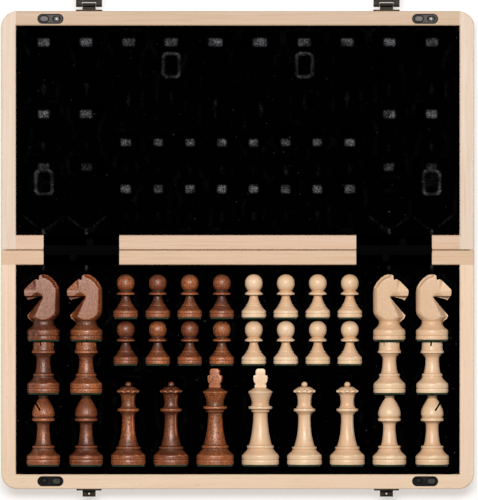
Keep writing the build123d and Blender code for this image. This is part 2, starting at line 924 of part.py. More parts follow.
with BuildPart() as latch_plates:
    # a back plate screwed to the lid's front wall, with an arm that carries the middle knuckle
    arm_bottom_z = latch_axis_z - latch_barrel_radius
    for side in sides:
        with BuildSketch(Plane.XZ.offset(-lid_front_y)):
            with Locations((side * latch_x, latch_plate_middle_z)):
                RectangleRounded(latch_width, latch_plate_height, plate_corner)
        extrude(amount=-latch_plate_thickness)
        with BuildSketch(Plane.YZ.offset(side * latch_x)):
            with Locations((latch_axis_y, latch_axis_z)):
                Circle(latch_barrel_radius)
            with Locations((lid_front_y + latch_reach / 2, arm_bottom_z + latch_arm_thickness / 2)):
                Rectangle(latch_reach, latch_arm_thickness)
        extrude(amount=latch_arm_width / 2, both=True)
        with Locations(Location((side * latch_x, latch_axis_y, latch_axis_z), (0, 90, 0))):
            Cylinder(latch_pin_radius + pin_clearance, latch_width, mode=Mode.SUBTRACT)
    with Locations(*latch_screws):
        add(screw_hole, mode=Mode.SUBTRACT)

with BuildPart() as latch_pins:
    pin_places = [
        Location((side * latch_x, latch_axis_y, latch_axis_z), (0, 90, 0)) for side in sides
    ]
    with Locations(*pin_places):
        Cylinder(latch_pin_radius, latch_width)

# The flap lies level at rest. Shut, it hangs in front of the keeper, cranked in towards it.
flap_out = latch_barrel_radius - flap_thickness / 2
flap_length = tongue_reach + flap_below_slot
flap_in = latch_reach - keeper_thickness - flap_stand_off - flap_thickness / 2
slot_width = tongue_width + 2 * slot_clearance
slot_height = tongue_thickness + 2 * slot_clearance


def latch_flap(x):
    """A flap at x: two outer knuckles, a cranked leaf with the tongue's slot and a finger lip."""
    with BuildPart() as flap:
        with BuildSketch(Plane.YZ.offset(x)):
            with BuildLine():
                FilletPolyline(
                    (latch_axis_y, latch_axis_z + flap_out),
                    (latch_axis_y + flap_crank, latch_axis_z + flap_out),
                    (latch_axis_y + 1.6 * flap_crank, latch_axis_z + flap_in),
                    (latch_axis_y + flap_length - flap_lip, latch_axis_z + flap_in),
                    (latch_axis_y + flap_length, latch_axis_z + flap_in - 0.6 * flap_lip),
                    radius=flap_bend,
                )
            trace(line_width=flap_thickness)
            with Locations((latch_axis_y, latch_axis_z)):
                Circle(latch_barrel_radius)
        extrude(amount=latch_width / 2, both=True)
        with Locations((x, latch_axis_y, latch_axis_z)):
            Box(
                latch_arm_width + 2 * latch_clearance,
                2 * (latch_barrel_radius + 2 * latch_clearance),
                2 * (latch_barrel_radius + 2 * latch_clearance),
                mode=Mode.SUBTRACT,
            )
        with Locations(Location((x, latch_axis_y, latch_axis_z), (0, 90, 0))):
            Cylinder(latch_pin_radius + pin_clearance, latch_width, mode=Mode.SUBTRACT)
        with Locations((x, latch_axis_y + tongue_reach, latch_axis_z + flap_in)):
            Box(slot_width, slot_height, 4 * flap_thickness, mode=Mode.SUBTRACT)
    return flap.part


with BuildPart() as latch_flap_left:
    add(latch_flap(-latch_x))

with BuildPart() as latch_flap_right:
    add(latch_flap(latch_x))

with BuildPart() as latch_keepers:
    # a plate on the base's front wall with a level tongue, pierced for a small padlock
    eye_y = base_front_y - tongue_length + tongue_eye_radius + tongue_eye_wall
    for side in sides:
        with BuildSketch(Plane.XZ.offset(-base_front_y)):
            with Locations((side * latch_x, keeper_middle_z)):
                RectangleRounded(keeper_width, keeper_height, plate_corner)
        extrude(amount=keeper_thickness)
        with BuildSketch(Plane.XY.offset(tongue_z - tongue_thickness / 2)):
            with Locations((side * latch_x, base_front_y - tongue_length / 2)):
                Rectangle(tongue_width, tongue_length)
            with Locations((side * latch_x, eye_y)):
                Circle(tongue_eye_radius, mode=Mode.SUBTRACT)
        extrude(amount=tongue_thickness)
    with Locations(*keeper_screws):
        add(screw_hole, mode=Mode.SUBTRACT)


# ------------------------------------------------------------------ Export

pieces = {
    "base_front_rail": base_front_rail,
    "base_hinge_rail": base_hinge_rail,
    "base_side_rails": base_side_rails,
    "base_board_panel": base_board_panel,
    "base_dark_squares": base_dark_squares,
    "base_tray": base_tray,
    "base_hinge_leaves": base_hinge_leaves,
    "base_hinge_covers": base_hinge_covers,
    "base_locating_plates": base_locating_plates,
    "base_screws": base_screws,
    "latch_keepers": latch_keepers,
    "hinge_pins": hinge_pins,
    "lid_front_rail": lid_front_rail,
    "lid_hinge_rail": lid_hinge_rail,
    "lid_side_rails": lid_side_rails,
    "lid_board_panel": lid_board_panel,
    "lid_dark_squares": lid_dark_squares,
    "lid_tray": lid_tray,
    "lid_hinge_leaves": lid_hinge_leaves,
    "lid_hinge_covers": lid_hinge_covers,
    "lid_locating_plates": lid_locating_plates,
    "lid_screws": lid_screws,
    "latch_plates": latch_plates,
    "latch_pins": latch_pins,
    "latch_flap_left": latch_flap_left,
    "latch_flap_right": latch_flap_right,
}
for name, piece in pieces.items():
    piece.part.label = name
    export_step(piece.part, f"parts/{name}.step")

print("open", box_width, "by", 2 * half_depth + fold_gap, "rim at", rim_z, "fold at", fold_y)
print("columns", king_x, queen_1_x, queen_2_x, officer_1_x, officer_2_x, "pawns", pawn_pitch)
print("feet", foot_line_y, rook_y, knight_y, pawn_row_1_y, pawn_row_2_y, "heads", head_line_y)
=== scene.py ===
import math

import bmesh
import bpy
import numpy
from mathutils import Matrix, Vector


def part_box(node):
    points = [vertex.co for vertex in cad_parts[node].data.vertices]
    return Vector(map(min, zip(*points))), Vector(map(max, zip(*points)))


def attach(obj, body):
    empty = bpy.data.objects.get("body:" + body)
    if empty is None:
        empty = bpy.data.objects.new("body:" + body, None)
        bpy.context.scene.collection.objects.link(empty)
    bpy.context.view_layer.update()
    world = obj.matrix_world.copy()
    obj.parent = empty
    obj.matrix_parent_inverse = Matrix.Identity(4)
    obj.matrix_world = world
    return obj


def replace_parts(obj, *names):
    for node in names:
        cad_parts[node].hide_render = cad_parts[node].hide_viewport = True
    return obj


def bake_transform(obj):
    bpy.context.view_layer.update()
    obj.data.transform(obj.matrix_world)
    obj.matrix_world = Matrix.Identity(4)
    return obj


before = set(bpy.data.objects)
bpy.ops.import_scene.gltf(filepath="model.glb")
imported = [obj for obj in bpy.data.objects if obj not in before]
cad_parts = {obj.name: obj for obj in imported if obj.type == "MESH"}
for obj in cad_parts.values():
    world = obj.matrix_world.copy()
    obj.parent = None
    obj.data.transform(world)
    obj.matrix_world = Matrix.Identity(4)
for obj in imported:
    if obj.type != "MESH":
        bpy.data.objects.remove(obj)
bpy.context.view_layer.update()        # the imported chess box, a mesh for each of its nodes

# ---- Camera
# The box lies open and flat, and is seen from straight above, so that only the tops of its
# walls show. The view takes in a little more than the open box.
mm = 0.001
scene = bpy.context.scene
view_height = 403 * mm
camera_x = 1.0 * mm
camera_above_rim = 5000 * mm
rim_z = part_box("base_front_rail")[1].z
fold_y = (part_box("base_hinge_rail")[1].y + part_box("lid_hinge_rail")[0].y) / 2
lens = bpy.data.cameras.new("camera")
lens.sensor_fit = "VERTICAL"
lens.sensor_height = 36
lens.lens = 36 * camera_above_rim / view_height
camera = bpy.data.objects.new("camera", lens)
camera.location = (camera_x, fold_y, rim_z + camera_above_rim)
scene.collection.objects.link(camera)
scene.camera = camera


# ---- The eight wooden rails
# Each half is a frame of pale pine rails, glued at its corners and rounded on the outside.
# Their grain runs along the rail, with fine fibres and short brown resin dashes.
class Shade:
    """A value or colour in a finish's node tree. Arithmetic on it adds the Math nodes."""

    def __init__(self, tree, socket=None):
        self.tree = tree
        self.socket = socket

    def feed(self, node, values):
        """Gives a node's sockets their values, or links them to other Shades."""
        for key, value in values.items():
            if isinstance(value, Shade):
                self.tree.links.new(value.socket, node.inputs[key])
            else:
                node.inputs[key].default_value = value

    def node(self, kind, settings=None, values=None, out=0):
        """Adds one shader node: its settings first, then the values or links of its sockets."""
        added = self.tree.nodes.new("ShaderNode" + kind)
        for name, setting in (settings or {}).items():
            setattr(added, name, setting)
        self.feed(added, values or {})
        return Shade(self.tree, added.outputs[out])

    def math(self, operation, *values):
        return self.node("Math", {"operation": operation}, dict(enumerate(values)))

    def __add__(self, other):
        return self.math("ADD", self, other)

    def __sub__(self, other):
        return self.math("SUBTRACT", self, other)

    def __rsub__(self, other):
        return self.math("SUBTRACT", other, self)

    def __mul__(self, other):
        return self.math("MULTIPLY", self, other)

    __radd__ = __add__
    __rmul__ = __mul__

    def clamped(self):
        return self.math("MINIMUM", self.math("MAXIMUM", self, 0.0), 1.0)

    def between(self, low, high):
        """0 below low, 1 above high."""
        return ((self - low) * (1 / (high - low))).clamped()

    def scaled(self, factors):
        """A vector, each of its parts multiplied by its own factor."""
        return self.node("VectorMath", {"operation": "MULTIPLY"}, {0: self, 1: factors})

    def marked(self, name):
        """A value that the mesh keeps for each of its points."""
        return self.node("Attribute", {"attribute_name": name}, out="Fac")

    def part(self, axis):
        """The X, Y or Z of this vector."""
        return self.node("SeparateXYZ", {}, {0: self}, out=axis)

    def noise(self, factors, detail=2.0):
        """Noise on this vector, about 0 to 1, with one factor or one for each axis."""
        factors = factors if isinstance(factors, tuple) else (factors,) * 3
        return self.node(
            "TexNoise", {}, {"Vector": self.scaled(factors), "Scale": 1.0, "Detail": detail}
        )

    def mixed(self, low, high):
        """The colour low where this is 0 and high where it is 1."""
        return self.node("Mix", {"data_type": "RGBA"}, {0: self, 6: low, 7: high}, out=2)

    def bump(self, height, strength=1.0):
        """The normal of a surface whose height in metres is this times height."""
        return self.node("Bump", {}, {"Strength": strength, "Distance": height, "Height": self})


def colour(red, green, blue):
    """A colour read as 0 to 255, as the shaders take it."""
    parts = [c / 255 for c in (red, green, blue)]
    return (*[c / 12.92 if c <= 0.04045 else ((c + 0.055) / 1.055) ** 2.4 for c in parts], 1.0)


def finish(name, **plain):
    """A new material, its shade, each point's place, and its surface with these plain values."""
    material = bpy.data.materials.new(name)
    material.use_nodes = True
    tree = material.node_tree
    surface = tree.nodes["Principled BSDF"]
    for socket, value in plain.items():
        surface.inputs[socket.replace("_", " ")].default_value = value
    shade = Shade(tree)
    return material, shade, shade.node("TexCoord", out="Object"), surface


def coat(node, material):
    """Gives a CAD node its finish."""
    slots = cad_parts[node].data.materials
    slots.clear()
    slots.append(material)


def stretch(along, length, width):
    """Factors that make a pattern length long along an axis and width across it."""
    return tuple(1 / (length if axis == along else width) for axis in "xyz")


def pine(name, tone, along):
    """Pine of that tone, its grain along one axis."""
    def tinted(*factors):
        return colour(*(part * factor for part, factor in zip(tone, factors)))

    material, shade, place, surface = finish(name, Specular_IOR_Level=0.35)
    band = place.noise(stretch(along, 260 * mm, 5 * mm), 3.0).between(0.35, 0.68)
    fibre = place.noise(stretch(along, 38 * mm, 0.7 * mm), 4.0).between(0.30, 0.72)
    late_wood = place.noise(stretch(along, 90 * mm, 1.7 * mm)).between(0.56, 0.70)
    dash = place.noise(stretch(along, 7 * mm, 0.55 * mm), 1.0).between(0.70, 0.76)
    rosy = place.noise(16).between(0.35, 0.65)
    wood = band.mixed(colour(*tone), tinted(0.985, 0.95, 0.915))
    wood = (fibre * 0.45).mixed(wood, tinted(0.94, 0.89, 0.84))
    wood = (late_wood * 0.28).mixed(wood, tinted(0.87, 0.78, 0.70))
    wood = (rosy * 0.25).mixed(wood, tinted(1.02, 0.99, 1.0))
    wood = (dash * 0.42).mixed(wood, colour(168, 128, 98))
    shade.feed(surface, {
        "Base Color": wood,
        "Roughness": 0.46 + fibre * 0.16,
        "Normal": (fibre * 0.7 + late_wood * 0.3).bump(0.05 * mm, 0.5),
    })
    return material


# Each rail's own tone, made lighter or darker with painted light and shade where the lamp lights
# it more or less
rail_tones_and_shade = {
    "base_front_rail": ((238, 212, 183), "x"),
    "base_hinge_rail": ((219, 187, 157), "x"),
    "base_side_rails": ((238, 213, 187), "y"),
    "lid_front_rail": ((207, 181, 154), "x"),
    "lid_hinge_rail": ((221, 190, 163), "x"),
    "lid_side_rails": ((227, 208, 189), "y"),
}
for rail, (tone, along) in rail_tones_and_shade.items():
    coat(rail, pine(f"pine_{rail}", tone, along))


# ---- The board panels and dark squares
# A thin panel closes each half. Its outer face is veneered as half of a chessboard, with dark
# squares let into the light veneer, and its figure changes from square to square.
square = 44.025 * mm


def veneer(name, light, dark):
    """Veneer of two tones, whose grain jumps from square to square; painted dark on its inner face
    as shade.
    """
    material, shade, place, surface = finish(name, Specular_IOR_Level=0.45)
    inner_face = place.part("Z").between(3.9 * mm, 3.95 * mm)
    in_squares = place.scaled((1 / square, 1 / square, 0))
    this_square = shade.node("VectorMath", {"operation": "FLOOR"}, {0: in_squares})
    shift = shade.node("TexWhiteNoise", {"noise_dimensions": "3D"}, {"Vector": this_square}, out=1)
    moved = shade.node("VectorMath", {"operation": "ADD"}, {0: place, 1: shift})
    figure = moved.noise(stretch("x", 60 * mm, 5 * mm), 3.0).between(0.3, 0.7)
    pores = moved.noise(stretch("x", 9 * mm, 0.35 * mm), 2.0).between(0.55, 0.72)
    wood = figure.mixed(light, dark)
    wood = (pores * 0.35).mixed(wood, tuple(0.45 * part for part in dark[:3]) + (1.0,))
    shade.feed(surface, {
        # the inner face, where it shows past the tray, is painted near black as shade
        "Base Color": inner_face.mixed(wood, colour(18, 14, 11)),
        "Roughness": 0.32 + pores * 0.2 + inner_face * 0.6,
        "Normal": pores.bump(-0.04 * mm, 0.5),
    })
    return material


light_veneer = veneer("maple_veneer", colour(226, 196, 155), colour(206, 168, 121))
dark_veneer = veneer("walnut_veneer", colour(104, 64, 40), colour(66, 38, 24))
for half in ("base", "lid"):
    coat(f"{half}_board_panel", light_veneer)
    coat(f"{half}_dark_squares", dark_veneer)


# ---- The moulded trays
# Each tray is one sheet of plastic, drawn over a mould and flocked black. Its waisted pockets
# have rounded rims. The flock is painted grey where the chessmen's feet wear it, with a painted
# sheen there, and painted sheen and highlights lie along its rims, the heads' beds and the wells'
# walls.
grid_step = 0.8 * mm
tray_corner = 7 * mm
tray_edge_radius = 0.9 * mm
flock_reach = 0.4 * mm          # the flock's fibres stand out past the sheet, towards the rails
tray_low, tray_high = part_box("base_tray")
axis_z = sum(corner.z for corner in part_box("light_queen_1")) / 2
foot_radii = {
    "king": 15.0, "queen": 14.0, "bishop": 13.45, "rook": 12.9, "knight": 13.0, "pawn": 9.85,
}

# Half the pocket's width at distances from the felt's underside
pocket_outlines = {
    "king": ((-1.7, 16), (9, 16), (17, 11.6), (30, 9.9), (43, 11.6), (80.3, 11.7)),
    "queen": ((-1.7, 15), (9, 15), (16.5, 11), (28, 8.9), (40, 10.5), (69.5, 10.9)),
    "bishop": ((-1.7, 14.5), (8.6, 14.5), (16, 10.6), (26, 8.5), (35, 10.6), (59, 10.8)),
    "rook": ((-1.7, 13.9), (8.8, 13.9), (16, 10.4), (24, 8.8), (31, 10.9), (43.8, 10.9)),
    "knight": ((-1.7, 14), (9.4, 14), (14, 11.5), (20, 14), (24, 14)),
    "pawn": ((-1.7, 10.8), (6.6, 10.8), (11.5, 7.9), (16, 6.7), (20.5, 8.4), (37.6, 8.6)),
}
# A knight's head lies in a flat-floored chamber that ends in a V
knight_chamber = ((13, 13.4), (19, 17), (45.4, 17), (55.4, 4.6), (56.4, 0.5))
knight_chamber_depth, chamber_wall = 10.4 * mm, 0.6
# where the painted sheen along a knight pocket's V starts, and how wide it is
knight_v_start, knight_v_sheen_width = 46, 0.45
# Where each foot wears its pocket, painted paler with a painted sheen, where a painted highlight
# lies along each head's bed, the head in shares of the pocket's length, and how bright the painted
# sheen is along a knight's V and along the rims' crests
foot_bed, foot_bed_half_width = (3.6, 9.2), 5.0
foot_wear_and_sheen, usual_foot_wear_and_sheen = {"queen": 0.40, "knight": 0.22}, 0.62
head_middle, head_reach, head_half_width = 0.76, 0.11, 1.7
head_sheen, knight_v_sheen, crest_sheen = 0.055, 0.30, 0.016
# The lid's four wells: the straight half of each side, their corners, their walls, the painted
# sheen along their walls and corners, and the wear on their floors
well_half_x, well_half_y, well_corner = 3.2 * mm, 6.0 * mm, 4.0 * mm
well_depth, well_slope = 13 * mm, 1.6 * mm
well_ring_inset, well_ring_half_width = 0.7 * mm, 0.6 * mm
well_ring_sheen, well_corner_sheen, well_floor_wear = 0.45, 0.50, 0.02
# The sheet rounds every edge that it is drawn over, here in two passes
edge_softness = (0.75 * mm, 0.6 * mm)
ranks = {"king": 1, "queen": 2, "bishop": 2, "rook": 2, "knight": 2, "pawn": 8}


def men():
    """Each chessman as its name, rank, the x of its axis and the y of its felt's underside."""
    for side in ("dark", "light"):
        for rank, count in ranks.items():
            for number in range(1, count + 1):
                name = f"{side}_{rank}" if count == 1 else f"{side}_{rank}_{number}"
                low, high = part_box(name)
                foot = foot_radii[rank] * mm
                x = low.x + foot if side == "light" else high.x - foot
                yield name, rank, x, low.y


def blurred(field, reach):
    """The field, smoothed over reach on each side."""
    steps = numpy.arange(-3, 4) * grid_step
    weights = numpy.exp(-0.5 * (steps / reach) ** 2)
    weights /= weights.sum()
    for axis in (0, 1):
        padded = numpy.pad(field, [(3, 3) if a == axis else (0, 0) for a in (0, 1)], "edge")
        size = field.shape[axis]
        parts = [w * padded.take(range(k, k + size), axis) for k, w in enumerate(weights)]
        field = sum(parts)
    return field


def tray_surface(wells):
    """Heights of the base's tray, or of the lid's with its small wells, and where its flock is
    worn and where painted sheen and highlights lie.
    """
    columns = round((tray_high.x - tray_low.x) / grid_step)
    rows = round((tray_high.y - tray_low.y) / grid_step)
    x = numpy.linspace(tray_low.x - flock_reach, tray_high.x + flock_reach, columns)[:, None]
    y = numpy.linspace(tray_low.y - flock_reach, tray_high.y + flock_reach, rows)[None, :]
    top = tray_high.z
    height = numpy.full((x.size, y.size), top)
    rub_and_sheen = numpy.zeros_like(height)
    for name, rank, axis_x, foot_y in men():
        along, across = (y - foot_y) / mm, numpy.abs(x - axis_x) / mm
        outline = numpy.array(pocket_outlines[rank])
        radius = numpy.interp(along, outline[:, 0], outline[:, 1], left=0, right=0)
        depth = numpy.sqrt(numpy.maximum(radius ** 2 - across ** 2, 0)) * mm
        height = numpy.minimum(height, axis_z - depth)
        if rank == "knight":
            outline = numpy.array(knight_chamber)
            half = numpy.interp(along, outline[:, 0], outline[:, 1], left=0, right=0)
            sunk = numpy.clip((half - across) / chamber_wall, 0, 1)
            height = numpy.minimum(height, top - sunk * (knight_chamber_depth - axis_z + top))
        # the foot's bed: wear painted paler, together with a painted sheen
        bed = (along > foot_bed[0]) & (along < foot_bed[1])
        reach = foot_bed_half_width * foot_radii[rank] / foot_radii["king"]
        wear = foot_wear_and_sheen.get(rank, usual_foot_wear_and_sheen)
        rub_and_sheen = numpy.maximum(rub_and_sheen, wear * (bed & (across < reach)))
        # a painted sheen along a knight pocket's V, or a painted highlight along a head's bed
        if rank == "knight":
            end = (along > knight_v_start) & (numpy.abs(across - half) < knight_v_sheen_width)
            rub_and_sheen = numpy.maximum(rub_and_sheen, knight_v_sheen * end)
        else:
            length = outline[-1, 0]
            off_head = (along - head_middle * length) / (head_reach * length)
            head = off_head ** 2 + (across / head_half_width) ** 2 < 1
            rub_and_sheen = numpy.maximum(rub_and_sheen, head_sheen * head)
    for well_x, well_y in wells:
        past_x = numpy.maximum(numpy.abs(x - well_x) - well_half_x, 0)
        past_y = numpy.maximum(numpy.abs(y - well_y) - well_half_y, 0)
        outside = numpy.hypot(past_x, past_y) - well_corner
        height = numpy.minimum(height, top - well_depth * numpy.clip(-outside / well_slope, 0, 1))
        # a painted sheen along each well's wall, brighter at its corners
        corner = (past_x > 0) & (past_y > 0)
        ring = numpy.abs(outside + well_ring_inset) < well_ring_half_width
        rub_and_sheen = numpy.maximum(rub_and_sheen, (well_ring_sheen + well_corner_sheen * corner) * ring)
        rub_and_sheen = numpy.maximum(rub_and_sheen, well_floor_wear * (outside < 0))
    for softness in edge_softness:
        height = blurred(height, softness)
    # a painted sheen along the crests of the rounded rims
    crest = numpy.clip((height - blurred(height, 1.5 * mm)) / (0.35 * mm), 0, 1)
    rub_and_sheen = numpy.maximum(blurred(rub_and_sheen, 0.6 * mm), crest_sheen * crest)
    return x, y, height, rub_and_sheen


def quad(grid, i, j):
    """The four corners of a grid's face, or None where the grid has a hole."""
    return [grid.get(key) for key in ((i, j), (i + 1, j), (i + 1, j + 1), (i, j + 1))]


def smooth(mesh, sharp=None):
    """Shades a mesh smoothly, except over edges sharper than that many degrees."""
    mesh.polygons.foreach_set("use_smooth", [True] * len(mesh.polygons))
    if sharp:
        mesh.set_sharp_from_angle(angle=math.radians(sharp))
    return mesh


def mesh_of(name, form, sharp=None):
    """The mesh of a finished form."""
    mesh = bpy.data.meshes.new(name)
    form.to_mesh(mesh)
    form.free()
    return smooth(mesh, sharp)


def piece_of(name, mesh, *materials):
    """A piece of the scene from a mesh and its materials."""
    for material in materials:
        mesh.materials.append(material)
    piece = bpy.data.objects.new(name, mesh)
    scene.collection.objects.link(piece)
    return piece


def tray(name, body, wells, mirror_y=None):
    """One tray's sheet. The lid's is made where the base's lies and then mirrored."""
    x, y, height, rub_and_sheen = tray_surface(wells)
    # the outer edge turns down over a small radius, round the tray's rounded corners
    middle = (tray_low + tray_high) / 2
    half = (tray_high - tray_low) / 2 + Vector((flock_reach, flock_reach, 0))
    inner_x = numpy.maximum(numpy.abs(x - middle.x) - (half.x - tray_corner), 0)
    inner_y = numpy.maximum(numpy.abs(y - middle.y) - (half.y - tray_corner), 0)
    inside = tray_corner - numpy.hypot(inner_x, inner_y)
    dip = numpy.clip(tray_edge_radius - inside, 0, tray_edge_radius)
    height = height - (tray_edge_radius - numpy.sqrt(tray_edge_radius ** 2 - dip ** 2))
    form = bmesh.new()
    rub_and_sheen_layer = form.verts.layers.float.new("rub_and_sheen")
    grid = {}
    for i, j in numpy.argwhere(inside > -0.75 * grid_step):
        point = Vector((x[i, 0], y[0, j], height[i, j]))
        if inside[i, j] < 0 and inner_x[i, 0] > 0 and inner_y[0, j] > 0:
            corner_x = middle.x + math.copysign(half.x - tray_corner, point.x - middle.x)
            corner_y = middle.y + math.copysign(half.y - tray_corner, point.y - middle.y)
            reach = tray_corner / math.hypot(point.x - corner_x, point.y - corner_y)
            point.x = corner_x + (point.x - corner_x) * reach
            point.y = corner_y + (point.y - corner_y) * reach
        grid[i, j] = form.verts.new(point)
        grid[i, j][rub_and_sheen_layer] = rub_and_sheen[i, j]
    for i, j in grid:
        if all(quad(grid, i, j)):
            form.faces.new(quad(grid, i, j))
    loose = [v for v in form.verts if not v.link_faces]
    bmesh.ops.delete(form, geom=loose, context="VERTS")
    rim = [edge for edge in form.edges if edge.is_boundary]
    skirt = bmesh.ops.extrude_edge_only(form, edges=rim)["geom"]
    for vertex in skirt:
        if isinstance(vertex, bmesh.types.BMVert):
            vertex.co.z = tray_low.z
    if mirror_y is not None:
        for vertex in form.verts:
            vertex.co.y = 2 * mirror_y - vertex.co.y
        bmesh.ops.reverse_faces(form, faces=form.faces)
    piece = piece_of(name, mesh_of(name, form), flock)
    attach(piece, body)
    return piece


flock, shade, place, surface = finish("black_flock", Specular_IOR_Level=0.0, Sheen_Weight=0.0)
nap = place.noise(900, 3.0)
lint = place.noise(420, 1.0).between(0.77, 0.83)
patchy = place.noise(110, 3.0).between(0.40, 0.60)
# rub_and_sheen holds the feet's wear together with the painted sheen and highlights of the tray
rub_and_sheen = shade.marked("rub_and_sheen")
broken = place.noise(70, 2.0).between(0.50, 0.62)
bold = rub_and_sheen.between(0.03, 0.09)
worn = (rub_and_sheen * (0.12 + nap.between(0.42, 0.66) * 0.88) * (0.30 + patchy * 0.70)).clamped()
# faint marks are broken up and bold ones are whole
worn = worn * (bold + (1 - bold) * broken)
shade.feed(surface, {
    # the black flock is painted grey where it is worn and where the painted sheen lies
    "Base Color": (worn + lint * 0.15).clamped().mixed(colour(1, 1, 1.3), colour(150, 150, 154)),
    "Roughness": 0.95 - worn * 0.3,
    "Normal": nap.bump(0.12 * mm, 0.6),
})
# Two wells lie beside the inner queens' pockets and two beside the outer knights'
queen_low, queen_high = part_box("light_queen_1")
knight_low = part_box("light_knight_2")[0]
wells_x_y = [
    (side * well_x, well_y) for well_x, well_y in (
        (queen_high.x - 14.0 * mm, queen_low.y + 25.0 * mm),
        (knight_low.x + 13.0 * mm, knight_low.y + 19.0 * mm),
    ) for side in (-1, 1)
]
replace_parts(tray("base_flocked_tray", "base_half", []), "base_tray")
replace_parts(tray("lid_flocked_tray", "lid_half", wells_x_y, mirror_y=fold_y), "lid_tray")


# ---- Hinge leaves and their pins
# Two plain steel hinges are let into the tops of the hinge rails, a leaf in each, with knuckles
# that take turns along the fold and a pin through them. The cloth covers hide most of them.
def metal(name, base, worn, rough, metallic=1.0):
    """A metal finish that goes from its base colour to a worn one in clouds and specks."""
    material, shade, place, surface = finish(name)
    cloud = place.noise(260, 4.0).between(0.32, 0.68)
    speck = place.noise(1600, 2.0).between(0.55, 0.75)
    shade.feed(surface, {
        "Base Color": (cloud * 0.75 + speck * 0.25).mixed(base, worn),
        "Metallic": metallic - speck * 0.15,
        "Roughness": rough + cloud * 0.14,
        "Normal": speck.bump(0.03 * mm, 0.4),
    })
    return material


hinge_steel = metal("hinge_steel", colour(150, 148, 145), colour(188, 185, 180), 0.28)
for node in ("base_hinge_leaves", "lid_hinge_leaves", "hinge_pins"):
    coat(node, hinge_steel)


# ---- The hinge covers
# A strip of black cloth is glued over each hinge, flat on both rails and loose over the knuckles,
# where the real cloth bends as the box shuts; this one is shaped open. Two small screw heads show
# through it as bumps.
cover_thickness = 0.35 * mm
cover_base_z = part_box("base_hinge_covers")[1].z - cover_thickness / 2
cover_reach = fold_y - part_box("base_hinge_covers")[0].y
knuckle_clear_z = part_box("hinge_pins")[1].z + 0.85 * mm
cover_crown = max(knuckle_clear_z, rim_z + 2.1 * mm) - cover_base_z
knuckle_half_width = 3.4 * mm
cover_columns, cover_rows = 76, 44
cover_width, cover_slack = 61 * mm, 1.2 * mm
ripple_height = 0.10 * mm
screw_off_x, screw_off_y = 7 * mm, 6.2 * mm
screw_bump_radius, screw_bump_height = 2.6 * mm, 0.06 * mm


def cover(name, low_x):
    """One cover, flat on its rails with a hump over the knuckles and two screws' bumps."""
    screw_places = [
        (low_x + cover_width / 2 + side * screw_off_x, side * screw_off_y) for side in (-1, 1)
    ]
    form = bmesh.new()
    sheet = {}
    for i in range(cover_columns + 1):
        for j in range(cover_rows + 1):
            u, v = i / cover_columns, j / cover_rows
            x = low_x + cover_width * u
            y = -cover_reach + 2 * cover_reach * v
            over = math.cos(min(abs(y) / knuckle_half_width, 1) * math.pi) / 2 + 0.5
            ripple = ripple_height * math.sin(640 * x + 2.0 * math.sin(90 * x)) * over
            z = cover_base_z + cover_crown * over + ripple
            for screw_x, screw_y in screw_places:
                off = min(math.hypot(x - screw_x, y - screw_y) / screw_bump_radius, 1)
                z += screw_bump_height * max(0, math.cos(off * math.pi / 2))
            sheet[i, j] = form.verts.new((x, fold_y + y, z))
    for i in range(cover_columns):
        for j in range(cover_rows):
            form.faces.new(quad(sheet, i, j))
    bmesh.ops.solidify(form, geom=form.faces[:], thickness=cover_thickness)
    bmesh.ops.recalc_face_normals(form, faces=form.faces)
    piece = piece_of(name, mesh_of(name, form, sharp=50), hinge_cloth)
    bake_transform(piece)
    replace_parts(piece, "base_hinge_covers", "lid_hinge_covers")


hinge_cloth, shade, place, surface = finish(
    "black_hinge_cloth", Specular_IOR_Level=0.08, Sheen_Weight=0.03,
)
wave = {"wave_type": "BANDS", "wave_profile": "SIN"}
warp = shade.node("TexWave", {**wave, "bands_direction": "X"}, {"Vector": place, "Scale": 380.0})
weft = shade.node("TexWave", {**wave, "bands_direction": "Y"}, {"Vector": place, "Scale": 380.0})
weave = warp * weft
dust = place.noise(300, 2.0).between(0.72, 0.80)
shade.feed(surface, {
    "Base Color": (weave * 0.25 + dust * 0.5).mixed(colour(2, 2, 2), colour(24, 24, 25)),
    "Roughness": 0.9 - weave * 0.1,
    "Normal": weave.bump(0.08 * mm, 0.7),
})
cover_low, cover_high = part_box("base_hinge_covers")
cover("left_hinge_cover", cover_low.x)
cover("right_hinge_cover", cover_high.x - cover_width)


# ---- The locating plates
# Pill-shaped moulded plates are let into the front rails, grey in the lid and black in the base.
# Each has a boss and a socket, which meet those of the other half and keep the rims in line.
plate_top_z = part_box("lid_front_rail")[1].z + 0.35 * mm
plate_x, plate_half_length, plate_half_width = 151 * mm, 10.5 * mm, 4 * mm
boss_offset, boss_half_length, boss_half_width, boss_shadow_width = 5 * mm, 3.0 * mm, 1.9 * mm, 1.0 * mm


